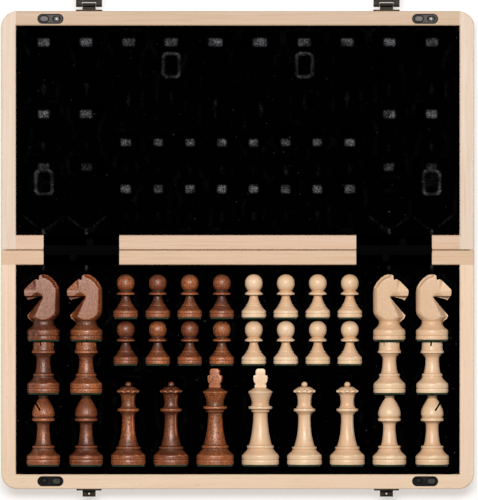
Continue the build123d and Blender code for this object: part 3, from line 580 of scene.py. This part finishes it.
def moulded_plastic(name, half, plain, scuffed_and_lit, rough):
    """The plastic of one half's plates: painted shade in its sockets, round its bosses and at its
    edges, and a painted highlight on its bosses' tops.
    """
    material, shade, place, surface = finish(name, Specular_IOR_Level=0.10)
    x, y, z = [place.part(axis) for axis in "XYZ"]
    height = z - plate_top_z
    sunk = 1 - height.between(-0.55 * mm, -0.05 * mm)
    low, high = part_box(f"{half}_locating_plates")
    across = y - (low.y + high.y) / 2

    def outside(offset, half_length, half_width):
        """How far a point lies outside a pill at this offset from each plate's middle."""
        along = shade.math("ABSOLUTE", shade.math("ABSOLUTE", x - offset) - plate_x)
        end = shade.math("MAXIMUM", along - (half_length - half_width), 0.0)
        return shade.math("SQRT", end * end + across * across) - half_width

    boss_x = boss_offset if half == "base" else -boss_offset
    # a painted shadow ring round each boss, as wide as boss_shadow_width, where the mesh has no
    # recess
    ring = outside(boss_x, boss_half_length, boss_half_width).between(boss_shadow_width, boss_shadow_width + 0.2 * mm)
    boss_top = height.between(1.2 * mm, 1.5 * mm)
    rim = outside(0.0, plate_half_length, plate_half_width).between(-1.3 * mm, -0.8 * mm)
    cloud = place.noise(350, 4.0).between(0.35, 0.70)
    pebble = place.noise(3500, 2.0)
    scratch = place.noise((180, 1900, 900), 2.0).between(0.62, 0.72)
    # painted shade in the sockets, round the bosses and along the plates' edges
    shaded = (sunk * 0.92 + (1 - ring) * (1 - boss_top) * 0.92 + rim * 0.85).clamped()
    # wear in clouds and scratches, and a painted highlight on the bosses' tops
    face = (cloud * 0.15 + scratch * 0.15 + boss_top * 0.40).mixed(plain, scuffed_and_lit)
    shade.feed(surface, {
        "Base Color": shaded.mixed(face, colour(6, 6, 6)),
        "Roughness": rough + cloud * 0.15,
        "Normal": pebble.bump(0.02 * mm, 0.5),
    })
    return material


coat("lid_locating_plates", moulded_plastic(
    "grey_plate_plastic", "lid", colour(80, 74, 72), colour(146, 139, 136), 0.44,
))
coat("base_locating_plates", moulded_plastic(
    "black_plate_plastic", "base", colour(5, 4, 4), colour(96, 90, 82), 0.50,
))


# ---- The screws
# Small cross-headed steel screws hold the plates, leaves, latches and keepers, plain in the lid
# and blackened in the base. Those in the locating plates' sockets show from above.
head_radius, head_rise, head_rings = 1.85 * mm, 0.5 * mm, 18
recess_half_width, recess_reach, recess_floor = 0.30 * mm, 1.15 * mm, 0.03 * mm
socket_floor_drop = 2.2 * mm
screw_steel = metal("screw_steel", colour(104, 102, 100), colour(150, 148, 144), 0.36)
blackened_steel = metal("blackened_steel", colour(14, 13, 12), colour(34, 32, 30), 0.40, 0.6)
coat("lid_screws", screw_steel)
coat("base_screws", blackened_steel)


def turn_of(steps):
    """That many angles, once round."""
    return [2 * math.pi * k / steps for k in range(steps)]


def skin(form, rings):
    """Joins rings of as many points into a surface, and returns its faces."""
    made = []
    for low, high in zip(rings, rings[1:]):
        for k in range(len(low)):
            n = (k + 1) % len(low)
            made.append(form.faces.new((low[k], high[k], high[n], low[n])))
    return made


def screw_heads(name, body, x_places, y, z, steel):
    """Domed heads with a cross recess, each a disc of rings raised over a screw's flat head."""
    form = bmesh.new()
    for x in x_places:
        rings = []
        for ring in range(head_rings + 1):
            reach = head_radius * ring / head_rings
            points = []
            for angle in turn_of(64):
                u, v = reach * math.cos(angle), reach * math.sin(angle)
                rise = head_rise * math.sqrt(max(1 - (reach / head_radius) ** 2, 0))
                near, far = sorted((abs(u), abs(v)))
                off = max(near - recess_half_width, far - recess_reach)
                sunk = min(max(0.5 - off / (0.12 * mm), 0), 1)
                rise = rise * (1 - sunk) + recess_floor * sunk
                points.append(form.verts.new((x + u, y + v, z + rise)))
            rings.append(points)
        skin(form, rings)
    bmesh.ops.remove_doubles(form, verts=form.verts, dist=1e-7)
    bmesh.ops.recalc_face_normals(form, faces=form.faces)
    piece = piece_of(name, mesh_of(name, form, sharp=40), steel)
    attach(piece, body)


for half, toward in (("base", -1), ("lid", 1)):
    low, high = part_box(f"{half}_locating_plates")
    x_places = [side * plate_x + toward * boss_offset for side in (-1, 1)]
    screw_heads(
        f"{half}_plate_screw_heads", f"{half}_half", x_places, (low.y + high.y) / 2,
        plate_top_z - socket_floor_drop, screw_steel if half == "lid" else blackened_steel,
    )


# ---- The latches and their keepers
# Each draw latch is pressed from thin sheet: a back plate on the lid's front wall, a barrel with
# its pin, and a slotted flap that hooks over the keeper's tongue. All are antique bronze.
bronze = metal("antique_bronze", colour(28, 22, 16), colour(54, 45, 33), 0.48, 0.8)
flap_bronze = metal("flap_bronze", colour(20, 16, 10), colour(42, 35, 22), 0.50, 0.6)
for node in ("latch_plates", "latch_pins", "latch_keepers"):
    coat(node, bronze)
for node in ("latch_flap_left", "latch_flap_right"):
    coat(node, flap_bronze)

# A pressed eyelet lines the eye of each keeper's tongue, as (radius, rise over the tongue) in mm
eyelet_profile = ((0.75, -0.9), (0.75, 0.25), (0.95, 0.4), (1.5, 0.4), (1.8, 0.2), (1.8, 0.0))
eye_x, eye_y = 120 * mm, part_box("latch_keepers")[0].y + 2.4 * mm
tongue_z = 18.8 * mm
eyelet = bmesh.new()
for side in (-1, 1):
    skin(eyelet, [[
        eyelet.verts.new((
            side * eye_x + radius * mm * math.cos(angle),
            eye_y + radius * mm * math.sin(angle), tongue_z + rise * mm,
        )) for angle in turn_of(40)
    ] for radius, rise in eyelet_profile])
eyelets = piece_of("keeper_eyelets", mesh_of("keeper_eyelets", eyelet), bronze)
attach(eyelets, "base_half")


# ---- The turned chessmen
# Kings, queens, bishops, rooks and pawns are turned from one blank each, sanded and lacquered,
# in a pale and in a reddish dark wood, with a green felt glued under the foot.
felt_inset = 0.9
# How far some have rolled about their axes, in degrees
rolls = {
    "dark_king": -13, "light_king": 2, "dark_bishop_1": -90, "light_bishop_1": 90,
    "dark_rook_2": -14, "dark_rook_1": -25, "light_rook_1": -34, "light_rook_2": -8,
}

# Each outline is (height from the felt's underside, radius) in mm, with two points for an edge
turnings = {
    "king": [
        (1.4, 0), (1.4, 14.6), (1.42, 14.85), (1.7, 15.05), (4.9, 15.05), (5.3, 14.3),
        (5.7, 15.05), (8.2, 15), (9, 14.7), (11.3, 12.5), (13, 10.9), (14.2, 10.3),
        (14.5, 10.7), (15, 10.85), (16.3, 10.85), (16.7, 10.5), (16.8, 9.6), (17.3, 9.2),
        (22, 7.9), (28, 6.8), (35, 6.05), (41, 5.7), (42.9, 5.8), (43.5, 6.7), (43.9, 7.3),
        (45.2, 7.3), (45.9, 8.3), (46.1, 9.3), (46.6, 9.55), (47.7, 9.55), (48.2, 9.3),
        (48.35, 8), (48.5, 7.3), (49.5, 7.3), (49.9, 6.9), (52, 7), (55.5, 8), (59, 9.6),
        (59.5, 9.95), (60, 9.9), (60.5, 9.2), (61.8, 7), (63.2, 4.8), (63.5, 4), (63.6, 0),
    ],
    "queen": [
        (1.4, 0), (1.4, 13.6), (1.42, 13.85), (1.7, 14.05), (5, 14.05), (5.4, 13.3),
        (5.8, 14.05), (8.2, 14), (9, 13.7), (11.1, 11.3), (12.6, 9.9), (13.6, 9.4),
        (13.8, 9.8), (14.2, 9.95), (15.3, 9.95), (15.6, 9.6), (15.8, 8.6), (16.4, 8.1), (21, 6.75),
        (26, 5.8), (31, 5.25), (36, 5), (40.3, 5), (41.6, 5.3), (43, 6.6), (43.7, 7),
        (44.1, 8.3), (44.5, 8.7), (46, 8.7), (46.4, 8.3), (46.6, 6.8), (47.4, 6.5), (48.3, 5.8),
        (50.3, 5.4), (52.7, 5.4), (55.2, 5.7), (57.4, 6.2), (58.8, 7.1), (59.4, 8.6), (60, 9.1),
        (60.8, 9.1), (61.3, 8.6), (61.6, 7.6), (62.4, 6.8), (63.4, 5.4), (64, 3.6), (64.05, 1.6),
        (64.3, 2), (65, 2.5), (66.2, 2.45), (67.3, 1.8), (67.85, 0.9), (67.85, 0),
    ],
    "bishop": [
        (1.4, 0), (1.4, 13.05), (1.42, 13.3), (1.7, 13.5), (5.1, 13.55), (5.5, 12.8), (5.9, 13.5),
        (7.5, 13.5), (8.6, 13), (11.2, 10), (13, 9), (14.4, 8.55), (14.6, 8.9),
        (15, 9.05), (16, 9.05), (16.4, 8.7), (16.5, 7.4), (17, 6.8), (20, 5.95), (25, 5.35),
        (29, 5), (33.2, 5.05), (34.6, 5.6), (35.7, 6.9), (36.1, 7.6), (36.3, 8.9), (36.8, 9.2),
        (38, 9.2), (38.5, 8.9), (38.7, 8.1), (39.4, 8.3), (41, 9.05), (43, 9.1), (46.5, 8.3),
        (50, 6.5), (53.2, 4.6), (55, 3.3), (55.4, 3.5), (55.7, 3.9), (56, 4), (56.9, 3.95),
        (57.3, 3.7), (57.4, 3.2), (57.4, 0),
    ],
    "pawn": [
        (1.4, 0), (1.4, 9.5), (1.42, 9.7), (1.7, 9.9), (4, 9.9), (4.3, 9.3), (4.6, 9.9),
        (6.2, 9.85), (7.1, 9.3), (8.7, 7.7), (9.9, 6.9), (10.5, 6.1), (10.7, 6.3), (11.2, 6.35),
        (11.6, 6.15), (11.8, 5.5), (12.5, 5.3), (13.9, 4.6), (16.4, 3.7), (18.3, 3.3), (19, 4.1),
        (19.4, 4.7), (19.5, 6.9), (19.9, 7.3), (20.4, 7.3), (21, 6.9), (22, 5.6), (22.4, 4.9),
        (22.9, 4.9), (24.2, 5.9), (25.7, 6.6), (27.3, 7.05), (29, 7.15), (30.7, 7),
        (32.2, 6.5), (33.6, 5.6), (34.7, 4.4), (35.5, 3.1), (36, 1.5), (36.1, 0),
    ],
    "rook": [
        (1.4, 0), (1.4, 12.5), (1.42, 12.75), (1.7, 12.95), (4.4, 12.95), (4.8, 12.2),
        (5.2, 12.95), (8.2, 12.9), (9, 12.5), (10.7, 10.6), (12.8, 8.6), (14.4, 8),
        (14.8, 8.25), (15.2, 8.35), (16.2, 8.35), (16.6, 8), (16.8, 7.1), (17.4, 6.7),
        (20.8, 6), (25, 5.5), (29, 5.5), (30.6, 6.1), (31.8, 7.2), (32.6, 7.6), (33.1, 8.6),
        (33.3, 9.3), (33.7, 9.45), (34.6, 9.4), (35.2, 9), (35.8, 8.6), (37.5, 8.4),
        (41.6, 8.25), (42.2, 8.15), (42.4, 7.8), (42.4, 6.2), (42.2, 5.9), (38.6, 5.8),
        (38.4, 5.4), (38.4, 0),
    ],
}


def corners_cut(outline):
    """The outline with each corner cut, and then cut again, but little where a side is short."""
    for short_side in (0, 1.2):
        cut = [outline[0]]
        for (h1, r1), (h2, r2) in zip(outline, outline[1:]):
            part = 0.25 if math.hypot(h2 - h1, r2 - r1) > short_side else 0.04
            cut.append((h1 + part * (h2 - h1), r1 + part * (r2 - r1)))
            cut.append((h2 + part * (h1 - h2), r2 + part * (r1 - r2)))
        outline = cut + [outline[-1]]
    return outline


def shelter(outline, height, radius):
    """How far the outline's shoulders close in on a point of it: 0 in the open, 1 in a cleft."""
    closed = []
    for sign in (-1, 1):
        rises = [
            (r - radius) / max(abs(h - height), 0.15) for h, r in outline
            if 0 < sign * (h - height) < 7 and r > radius
        ]
        closed.append(math.atan(max(rises, default=0)))
    return min(sum(closed) / math.radians(100), 1)


def hollow_layer(form):
    """Where a form keeps how sheltered each of its points is."""
    return form.verts.layers.float.get("hollow") or form.verts.layers.float.new("hollow")


def turned(form, outline, steps=56, reshape=None):
    """Turns an outline of (height, radius) about +Y and adds it to the form."""
    layer = hollow_layer(form)
    rings = []
    for height, radius in outline:
        sheltered = shelter(outline, height, radius)
        ring = []
        for angle in turn_of(steps):
            h, r = reshape(height, radius, angle) if reshape else (height, radius)
            ring.append(form.verts.new((r * math.sin(angle), h, r * math.cos(angle))))
            ring[-1][layer] = sheltered
        rings.append(ring)
    return skin(form, rings)


def with_felt(form, foot_radius):
    """Adds the felt under a foot, as the form's second material."""
    radius = foot_radius - felt_inset
    outline = [
        (0, 0), (0, radius - 0.3), (0.15, radius), (1.2, radius), (1.5, radius - 0.1), (1.5, 0),
    ]
    for face in turned(form, outline):
        face.material_index = 1


def extruded(form, face, depth):
    """Pulls a face of the form along Z, and returns its far copy."""
    front = bmesh.ops.extrude_face_region(form, geom=[face])["geom"]
    bmesh.ops.translate(
        form, vec=(0, 0, depth), verts=[v for v in front if isinstance(v, bmesh.types.BMVert)],
    )
    return [f for f in front if isinstance(f, bmesh.types.BMFace)]


def cross(form):
    """The king's flat cross, cut with a lobed foot, square arms and a rounded top."""
    half = [
        (3.2, 62.6), (4.5, 63.3), (4.7, 64.2), (4.65, 65.2), (4.1, 66), (4.2, 66.5),
        (4.9, 67.2), (5.5, 68.6), (5.7, 70.2), (5.7, 72.5), (5.3, 73.1), (4.2, 73.3),
        (3.9, 73.9), (3.9, 76.3), (3.5, 77.7), (2.4, 78.45), (0.9, 78.6),
    ]
    outline = half + [(-x, h) for x, h in reversed(half)]
    thickness = 5
    face = form.faces.new([form.verts.new((x, h, -thickness / 2)) for x, h in outline])
    sides = extruded(form, face, thickness) + [face]
    bmesh.ops.bevel(
        form, geom=[e for f in sides for e in f.edges], offset=0.55, segments=3, profile=0.5,
        affect="EDGES",
    )


def coronet(height, radius, angle):
    """Scallops the rim of the queen's coronet into nine points."""
    rim_low, rim_high, points = 59.2, 62.2, 9
    if not rim_low < height < rim_high or radius < 6.5:
        return height, radius
    dip = 1 - abs(math.cos(points / 2 * angle))
    depth = dip ** 1.3 * math.sin((height - rim_low) / (rim_high - rim_low) * math.pi)
    return height - 0.9 * depth, radius - 1.15 * depth


def welded(name, form):
    """The mesh of a man's form, welded where its parts meet, with only real edges sharp."""
    bmesh.ops.remove_doubles(form, verts=form.verts, dist=1e-5)
    bmesh.ops.recalc_face_normals(form, faces=form.faces)
    return mesh_of(name, form, sharp=52)


def worked(workpiece):
    """A workpiece's mesh after its modifiers. The workpiece itself is taken away."""
    ready = workpiece.evaluated_get(bpy.context.evaluated_depsgraph_get())
    mesh = bpy.data.meshes.new_from_object(ready)
    bpy.data.objects.remove(workpiece)
    return mesh


def sawn(mesh, corners):
    """The mesh with a saw cut along Z, whose cross-section has these corners."""
    reach = 12
    blade = bmesh.new()
    face = blade.faces.new([blade.verts.new((*corner, -reach)) for corner in corners])
    extruded(blade, face, 2 * reach)
    bmesh.ops.recalc_face_normals(blade, faces=blade.faces)
    saw = piece_of("saw", mesh_of("saw", blade))
    workpiece = piece_of("sawn", mesh)
    cut = workpiece.modifiers.new("cut", "BOOLEAN")
    cut.operation, cut.solver, cut.object = "DIFFERENCE", "EXACT", saw
    shaped = worked(workpiece)
    bpy.data.objects.remove(saw)
    return smooth(shaped, sharp=52)


def chessman_wood(name, woods, stain, speckled, grain_depth, sanded_and_sheen=None, **plain):
    """Lacquered wood, with painted shade in its hollows and a painted highlight on its sharp
    edges;
    sanded_and_sheen is the colour of matt cheeks, with a painted sheen.
    """
    pale, deep, streak = woods
    material, shade, place, surface = finish(name, Coat_Roughness=0.20, **plain)
    figure = place.noise(stretch("y", 42 * mm, 6 * mm), 3.0).between(0.32, 0.68)
    fibre = place.noise(stretch("y", 16 * mm, 0.8 * mm), 3.0).between(0.32, 0.70)
    pore = place.noise(stretch("y", 2.4 * mm, 0.3 * mm), 1.0).between(0.62, 0.74)
    blotch = place.noise(34, 2.0).between(0.41, 0.59)
    speckle = place.noise((900, 600, 900), 3.0).between(0.36, 0.66)
    # a painted highlight along sharp edges and the crests of rings
    edge = shade.node("NewGeometry", out="Pointiness").between(0.508, 0.55)
    hollow = shade.marked("hollow").between(0.12, 0.85)
    tone = shade.marked("tone")
    edge_highlight = (*[min(1.35 * part + 0.05, 1) for part in pale[:3]], 1.0)
    wood = (figure * 0.35 + blotch * 0.35 + (tone * 0.7 - 0.2)).clamped().mixed(pale, deep)
    wood = (fibre * 0.30 + pore * 0.35 + speckle * speckled).clamped().mixed(wood, streak)
    wood = (edge * 0.55).mixed(wood, edge_highlight)
    # painted shade in the hollows that the outline's shoulders shelter
    wood = (hollow * stain).mixed(wood, streak)
    matt = 0
    if sanded_and_sheen:
        above_neck = place.part("Y") - neck_y
        height = place.part("Z") - axis_z
        cheek = shade.math("ABSOLUTE", height) + above_neck * cheek_taper
        cheek = cheek.between(cheek_half_width - 0.25 * mm, cheek_half_width - 0.05 * mm)
        cheek = cheek * above_neck.between(-1.0 * mm, -0.8 * mm)
        grit = place.noise(1000, 3.0).between(0.36, 0.64)
        # the cheeks are painted paler as a painted sheen, over their own matt sanding
        wood = (cheek * (0.45 + grit * 0.50)).mixed(wood, sanded_and_sheen)
        matt = cheek * 0.22
    shade.feed(surface, {
        "Base Color": wood,
        "Roughness": 0.36 + fibre * 0.12 + speckle * 0.06 + matt,
        "Coat Weight": 0.30 - pore * 0.15 - speckle * speckled * 0.25,
        "Normal": (fibre * 0.3 + speckle * 0.4 - pore * 0.5).bump(grain_depth, 0.6),
    })
    return material


green_felt, shade, place, surface = finish("green_felt", Specular_IOR_Level=0.1, Sheen_Weight=0.2)
fuzz = place.noise(1500, 4.0).between(0.3, 0.7)
shade.feed(surface, {
    "Base Color": fuzz.mixed(colour(20, 36, 22), colour(44, 68, 44)),
    "Roughness": 0.98 - fuzz * 0.08,
    "Normal": fuzz.bump(0.15 * mm, 0.8),
})
side_woods = {
    "light": {
        "woods": (colour(246, 212, 178), colour(234, 193, 154), colour(202, 152, 108)),
        "stain": 0.60, "speckled": 0.10, "grain_depth": 0.04 * mm,
        "Specular_IOR_Level": 0.28, "Specular_Tint": (1.0, 0.88, 0.78, 1.0),
    },
    "dark": {
        "woods": (colour(206, 116, 62), colour(124, 55, 28), colour(42, 15, 7)),
        "stain": 0.85, "speckled": 0.70, "grain_depth": 0.34 * mm,
        "Specular_IOR_Level": 0.8, "Specular_Tint": (1.0, 0.80, 0.70, 1.0),
    },
}
chessman_woods = {
    side: chessman_wood(f"{side}_chessman_wood", **wood) for side, wood in side_woods.items()
}


def place_man(name, mesh, rank, x, foot_y, roll, tone):
    """Lays a chessman of that mesh, made nose or slot to the right, in its pocket."""
    side = name.split("_")[0]
    mirrored = side == "dark" and rank in ("knight", "bishop")
    body = mesh.copy()
    body.name = f"{name}_wood"
    lie = Matrix.Translation((x, foot_y, axis_z)) @ Matrix.Rotation(math.radians(roll), 4, "Y")
    body.transform(lie @ Matrix.Diagonal((-mm if mirrored else mm, mm, mm, 1)))
    if mirrored:
        body.flip_normals()
    tones = body.attributes.new("tone", "FLOAT", "POINT")
    tones.data.foreach_set("value", [tone] * len(body.vertices))
    wood = f"{side}_knight" if rank == "knight" else side
    piece = piece_of(f"{name}_turned", body, chessman_woods[wood], green_felt)
    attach(piece, name)
    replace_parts(piece, name)


# The cross-sections of the bishop's cut and of the rook's, as (x, height)
mitre_cut = [(2.91, 44.34), (9.11, 53.84), (7.69, 54.76), (1.49, 45.26)]
battlement_cut = [(-0.75, 39.1), (0.75, 39.1), (0.75, 44.0), (-0.75, 44.0)]
forms = {}
for rank, outline in turnings.items():
    form = bmesh.new()
    if rank == "queen":
        turned(form, corners_cut(outline), 108, coronet)
    else:
        turned(form, corners_cut(outline))
    with_felt(form, foot_radii[rank])
    if rank == "king":
        cross(form)
    mesh = welded(rank, form)
    if rank == "bishop":
        mesh = sawn(mesh, mitre_cut)
    elif rank == "rook":
        # two cuts across the rim, the second turned a quarter: Z is swapped with X for it
        for _ in range(2):
            mesh = sawn(mesh, battlement_cut)
            mesh.transform(Matrix.Rotation(math.pi / 2, 4, "Y"))
    forms[rank] = mesh


# ---- The carved knights
# A knight starts as a turned foot and collar. Its blank is sawn to a flat-cheeked horse's head,
# and the breast, mane, face and jaw are cut in as facets whose edges are sanded soft.
knight_foot = [
    (1.4, 0), (1.4, 12.6), (1.42, 12.85), (1.7, 13.05), (4.2, 13.05), (4.6, 12.3), (5, 13.05),
    (8.5, 13), (9.3, 12.5), (11, 10.4), (12.5, 9), (14, 8.4), (16, 8.3), (18, 8.6),
    (18, 0),
]
collar_top = 17.4
# The head's side view as (x, height), and the radius of the round blank it is sawn from
head_outline = [
    (-8.1, 14.5), (-8.3, 16.5), (-9.2, 17.6), (-10.9, 19.5), (-12.3, 21.5), (-12.95, 24),
    (-13, 27), (-13, 40), (-12.3, 43.6), (-9.9, 47.7), (-6.8, 51), (-3.6, 53.2),
    (-1.2, 53.8), (1.4, 53.8), (3.1, 53), (3.6, 49.3), (5.7, 50.1), (8.3, 48.6),
    (15.1, 41.7), (15.35, 40), (14.8, 36.3), (12.2, 33.1), (11.2, 33.8), (1.8, 36.1),
    (0.5, 35.4), (13, 20.7), (12, 18.4), (9.4, 16.2), (8.1, 14.5),
]
blank_radii = (
    (14, 8.3), (16.5, 8.35), (17.6, 9.25), (19.5, 10.95), (21.5, 12.35), (24, 13),
    (27, 13.05),
)
crest = head_outline[7:13]
# The cheeks are left matt from the sander, as far as their flat faces reach, and are painted
# paler there as a painted sheen
neck_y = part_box("light_knight_1")[0].y + 18.0 * mm
cheek_half_width, cheek_taper = 9.2 * mm, 0.03
sanded_sheen_colours = {"light": colour(210, 172, 136), "dark": colour(156, 108, 85)}
for side, sanded_and_sheen in sanded_sheen_colours.items():
    chessman_woods[f"{side}_knight"] = chessman_wood(
        f"{side}_knight_wood", sanded_and_sheen=sanded_and_sheen, **side_woods[side],
    )


def beyond(x, h, start, end):
    """How far (x, h) lies to the right of the line from start to end."""
    run, rise = end[0] - start[0], end[1] - start[1]
    return ((x - start[0]) * rise - (h - start[1]) * run) / math.hypot(run, rise)


def from_back(x, h):
    """The distance of (x, h) from the outline of the horse's crest, from withers to ear."""
    nearest = math.inf
    for (x1, h1), (x2, h2) in zip(crest, crest[1:]):
        run, rise = x2 - x1, h2 - h1
        part = ((x - x1) * run + (h - h1) * rise) / (run ** 2 + rise ** 2)
        part = min(max(part, 0), 1)
        nearest = min(nearest, math.hypot(x - x1 - part * run, h - h1 - part * rise))
    return nearest


def half_width(x, h):
    """Half the knight's thickness at a point of its side view: the lowest of its facets."""
    cheek = cheek_half_width / mm - cheek_taper * (h - 18)
    # the face, which slopes from the brow to the nose
    cuts = [0, min(0.30 * (h - 40.7), 0.9 * (x - 6.0))]
    # the round blank's own surface, low down and at the back
    heights, radii = zip(*blank_radii)
    radius = float(numpy.interp(h, heights, radii))
    if h < 34 or x < 0:
        cuts.append(cheek - math.sqrt(max(radius ** 2 - x ** 2, 0.09)))
    # the breast, a facet that slopes away to the front
    if h < 36.5:
        cuts.append(2.0 * beyond(x, h, (7.6, 18.4), (0.5, 34.6)))
    # the mane, stepped down along the crest
    if h > 41.5 and x < 2.5:
        groove = min((h - 41.5) / 3, 1)
        back = from_back(x, h)
        cuts.append(groove * (2.8 * min(max(2.7 - back, 0), 1.3) + 0.7 * max(1.4 - back, 0)))
    # the hollow at the jaw
    if h > 34:
        cuts.append(0.9 * (4.9 - math.hypot(x - 4.9, h - 34.4)))
    return max(cheek - max(cuts), 0.3)


def carved_knight():
    """The knight's mesh: a sliced slab at half_width on each side, fused with its turned foot."""
    form = bmesh.new()
    form.faces.new([form.verts.new((x, h, 0)) for x, h in head_outline])
    slab = 0.75
    slices_x = [k * slab - 12.75 for k in range(38)] + [-12.9, -12.6, -12.4, -12.2, 12.4, 12.6]
    slices = [((x, 0, 0), (1, 0, 0)) for x in slices_x]
    slices += [((0, 14.9 + slab * k, 0), (0, 1, 0)) for k in range(52)]
    for point, normal in slices:
        everything = form.verts[:] + form.edges[:] + form.faces[:]
        bmesh.ops.bisect_plane(form, geom=everything, dist=1e-5, plane_co=point, plane_no=normal)
    front = bmesh.ops.extrude_face_region(form, geom=form.faces[:])["geom"]
    lifted = {v for v in front if isinstance(v, bmesh.types.BMVert)}
    for vertex in form.verts:
        width = half_width(vertex.co.x, vertex.co.y)
        vertex.co.z = width if vertex in lifted else -width
    bmesh.ops.recalc_face_normals(form, faces=form.faces)
    turned(form, corners_cut(knight_foot))
    bmesh.ops.remove_doubles(form, verts=form.verts, dist=1e-5)
    bmesh.ops.recalc_face_normals(form, faces=form.faces)
    blank = piece_of("knight_blank", mesh_of("knight_blank", form))
    remesh = blank.modifiers.new("whole", "REMESH")
    remesh.mode, remesh.voxel_size, remesh.use_smooth_shade = "VOXEL", 0.25, True
    sanding = blank.modifiers.new("sanded_and_sheen", "SMOOTH")
    sanding.factor, sanding.iterations = 0.5, 2
    blank.modifiers.new("thinned", "DECIMATE").ratio = 0.25
    whole = bmesh.new()
    whole.from_mesh(worked(blank))
    hollow = hollow_layer(whole)
    foot = corners_cut(knight_foot)[:-2]
    heights, radii = zip(*foot)
    for vertex in whole.verts:
        if vertex.co.y < collar_top:
            radius = float(numpy.interp(vertex.co.y, heights, radii))
            vertex[hollow] = shelter(foot + [(19.5, 10.9), (21.5, 12.3)], vertex.co.y, radius)
    for face in whole.faces:
        face.material_index = 0
    with_felt(whole, foot_radii["knight"])
    return welded("knight", whole)


forms["knight"] = carved_knight()
# Each man is turned from another stick, so its tone is a step of the golden section on
tone_step = 0.618
for number, (name, rank, x, foot_y) in enumerate(men()):
    tone = tone_step * number % 1
    place_man(name, forms[rank], rank, x, foot_y, rolls.get(name, 0), tone)


# ---- Floor and light
# The box lies on a white table. One broad soft lamp hangs over it, a little towards the lid's
# side, so the shadow falls short and soft below the base.
key_place = Vector((-40 * mm, fold_y + 400 * mm, 1800 * mm))
key_power = 34
sky_strength = 0.10

table_half = 3.0
table_grey, table_glow = (0.48, 0.48, 0.48, 1), (0.62, 0.585, 0.56, 1)
table_mesh = bpy.data.meshes.new("white_table")
table_mesh.from_pydata(
    [(table_half * x, table_half * y, 0) for x, y in ((-1, -1), (1, -1), (1, 1), (-1, 1))],
    [], [(0, 1, 2, 3)],
)
table_white, shade, place, surface = finish(
    "table_white", Roughness=0.9, Specular_IOR_Level=0.0, Base_Color=table_grey,
    Emission_Strength=1.0,
)
white_table = piece_of("white_table", table_mesh, table_white)
ray = shade.node("LightPath", out="Is Camera Ray")
gloss = shade.node("LightPath", out="Is Glossy Ray")
under_x = shade.math("ABSOLUTE", place.part("X"))
under_y = shade.math("ABSOLUTE", place.part("Y") - fold_y)
box_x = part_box("base_front_rail")[1].x
# the floor's glow is left off in a strip under the gap at the fold, as a painted shadow there
clear = under_x.between(box_x - 3 * mm, box_x - 2 * mm)
clear = shade.math("MAXIMUM", clear, under_y.between(1.0 * mm, 1.6 * mm))
seen = shade.math("MAXIMUM", ray, gloss) * clear
shade.feed(surface, {"Emission Color": seen.mixed((0, 0, 0, 1), table_glow)})

key_lamp = bpy.data.lights.new("key", "AREA")
key_lamp.shape = "RECTANGLE"
key_lamp.size, key_lamp.size_y = 1.1, 0.5
key_lamp.energy = key_power
key = bpy.data.objects.new("key", key_lamp)
key.location = key_place
key.rotation_euler = (Vector((0, fold_y, 0)) - key_place).to_track_quat("-Z", "Y").to_euler()
scene.collection.objects.link(key)

sky = bpy.data.worlds.new("studio")
sky.use_nodes = True
scene.world = sky
shade = Shade(sky.node_tree)
seen = shade.node("LightPath", out="Is Camera Ray")
shade.feed(sky.node_tree.nodes["Background"], {
    "Color": (1, 1, 1, 1),
    "Strength": sky_strength + seen * (1 - sky_strength),
})
scene.view_settings.view_transform = "Standard"
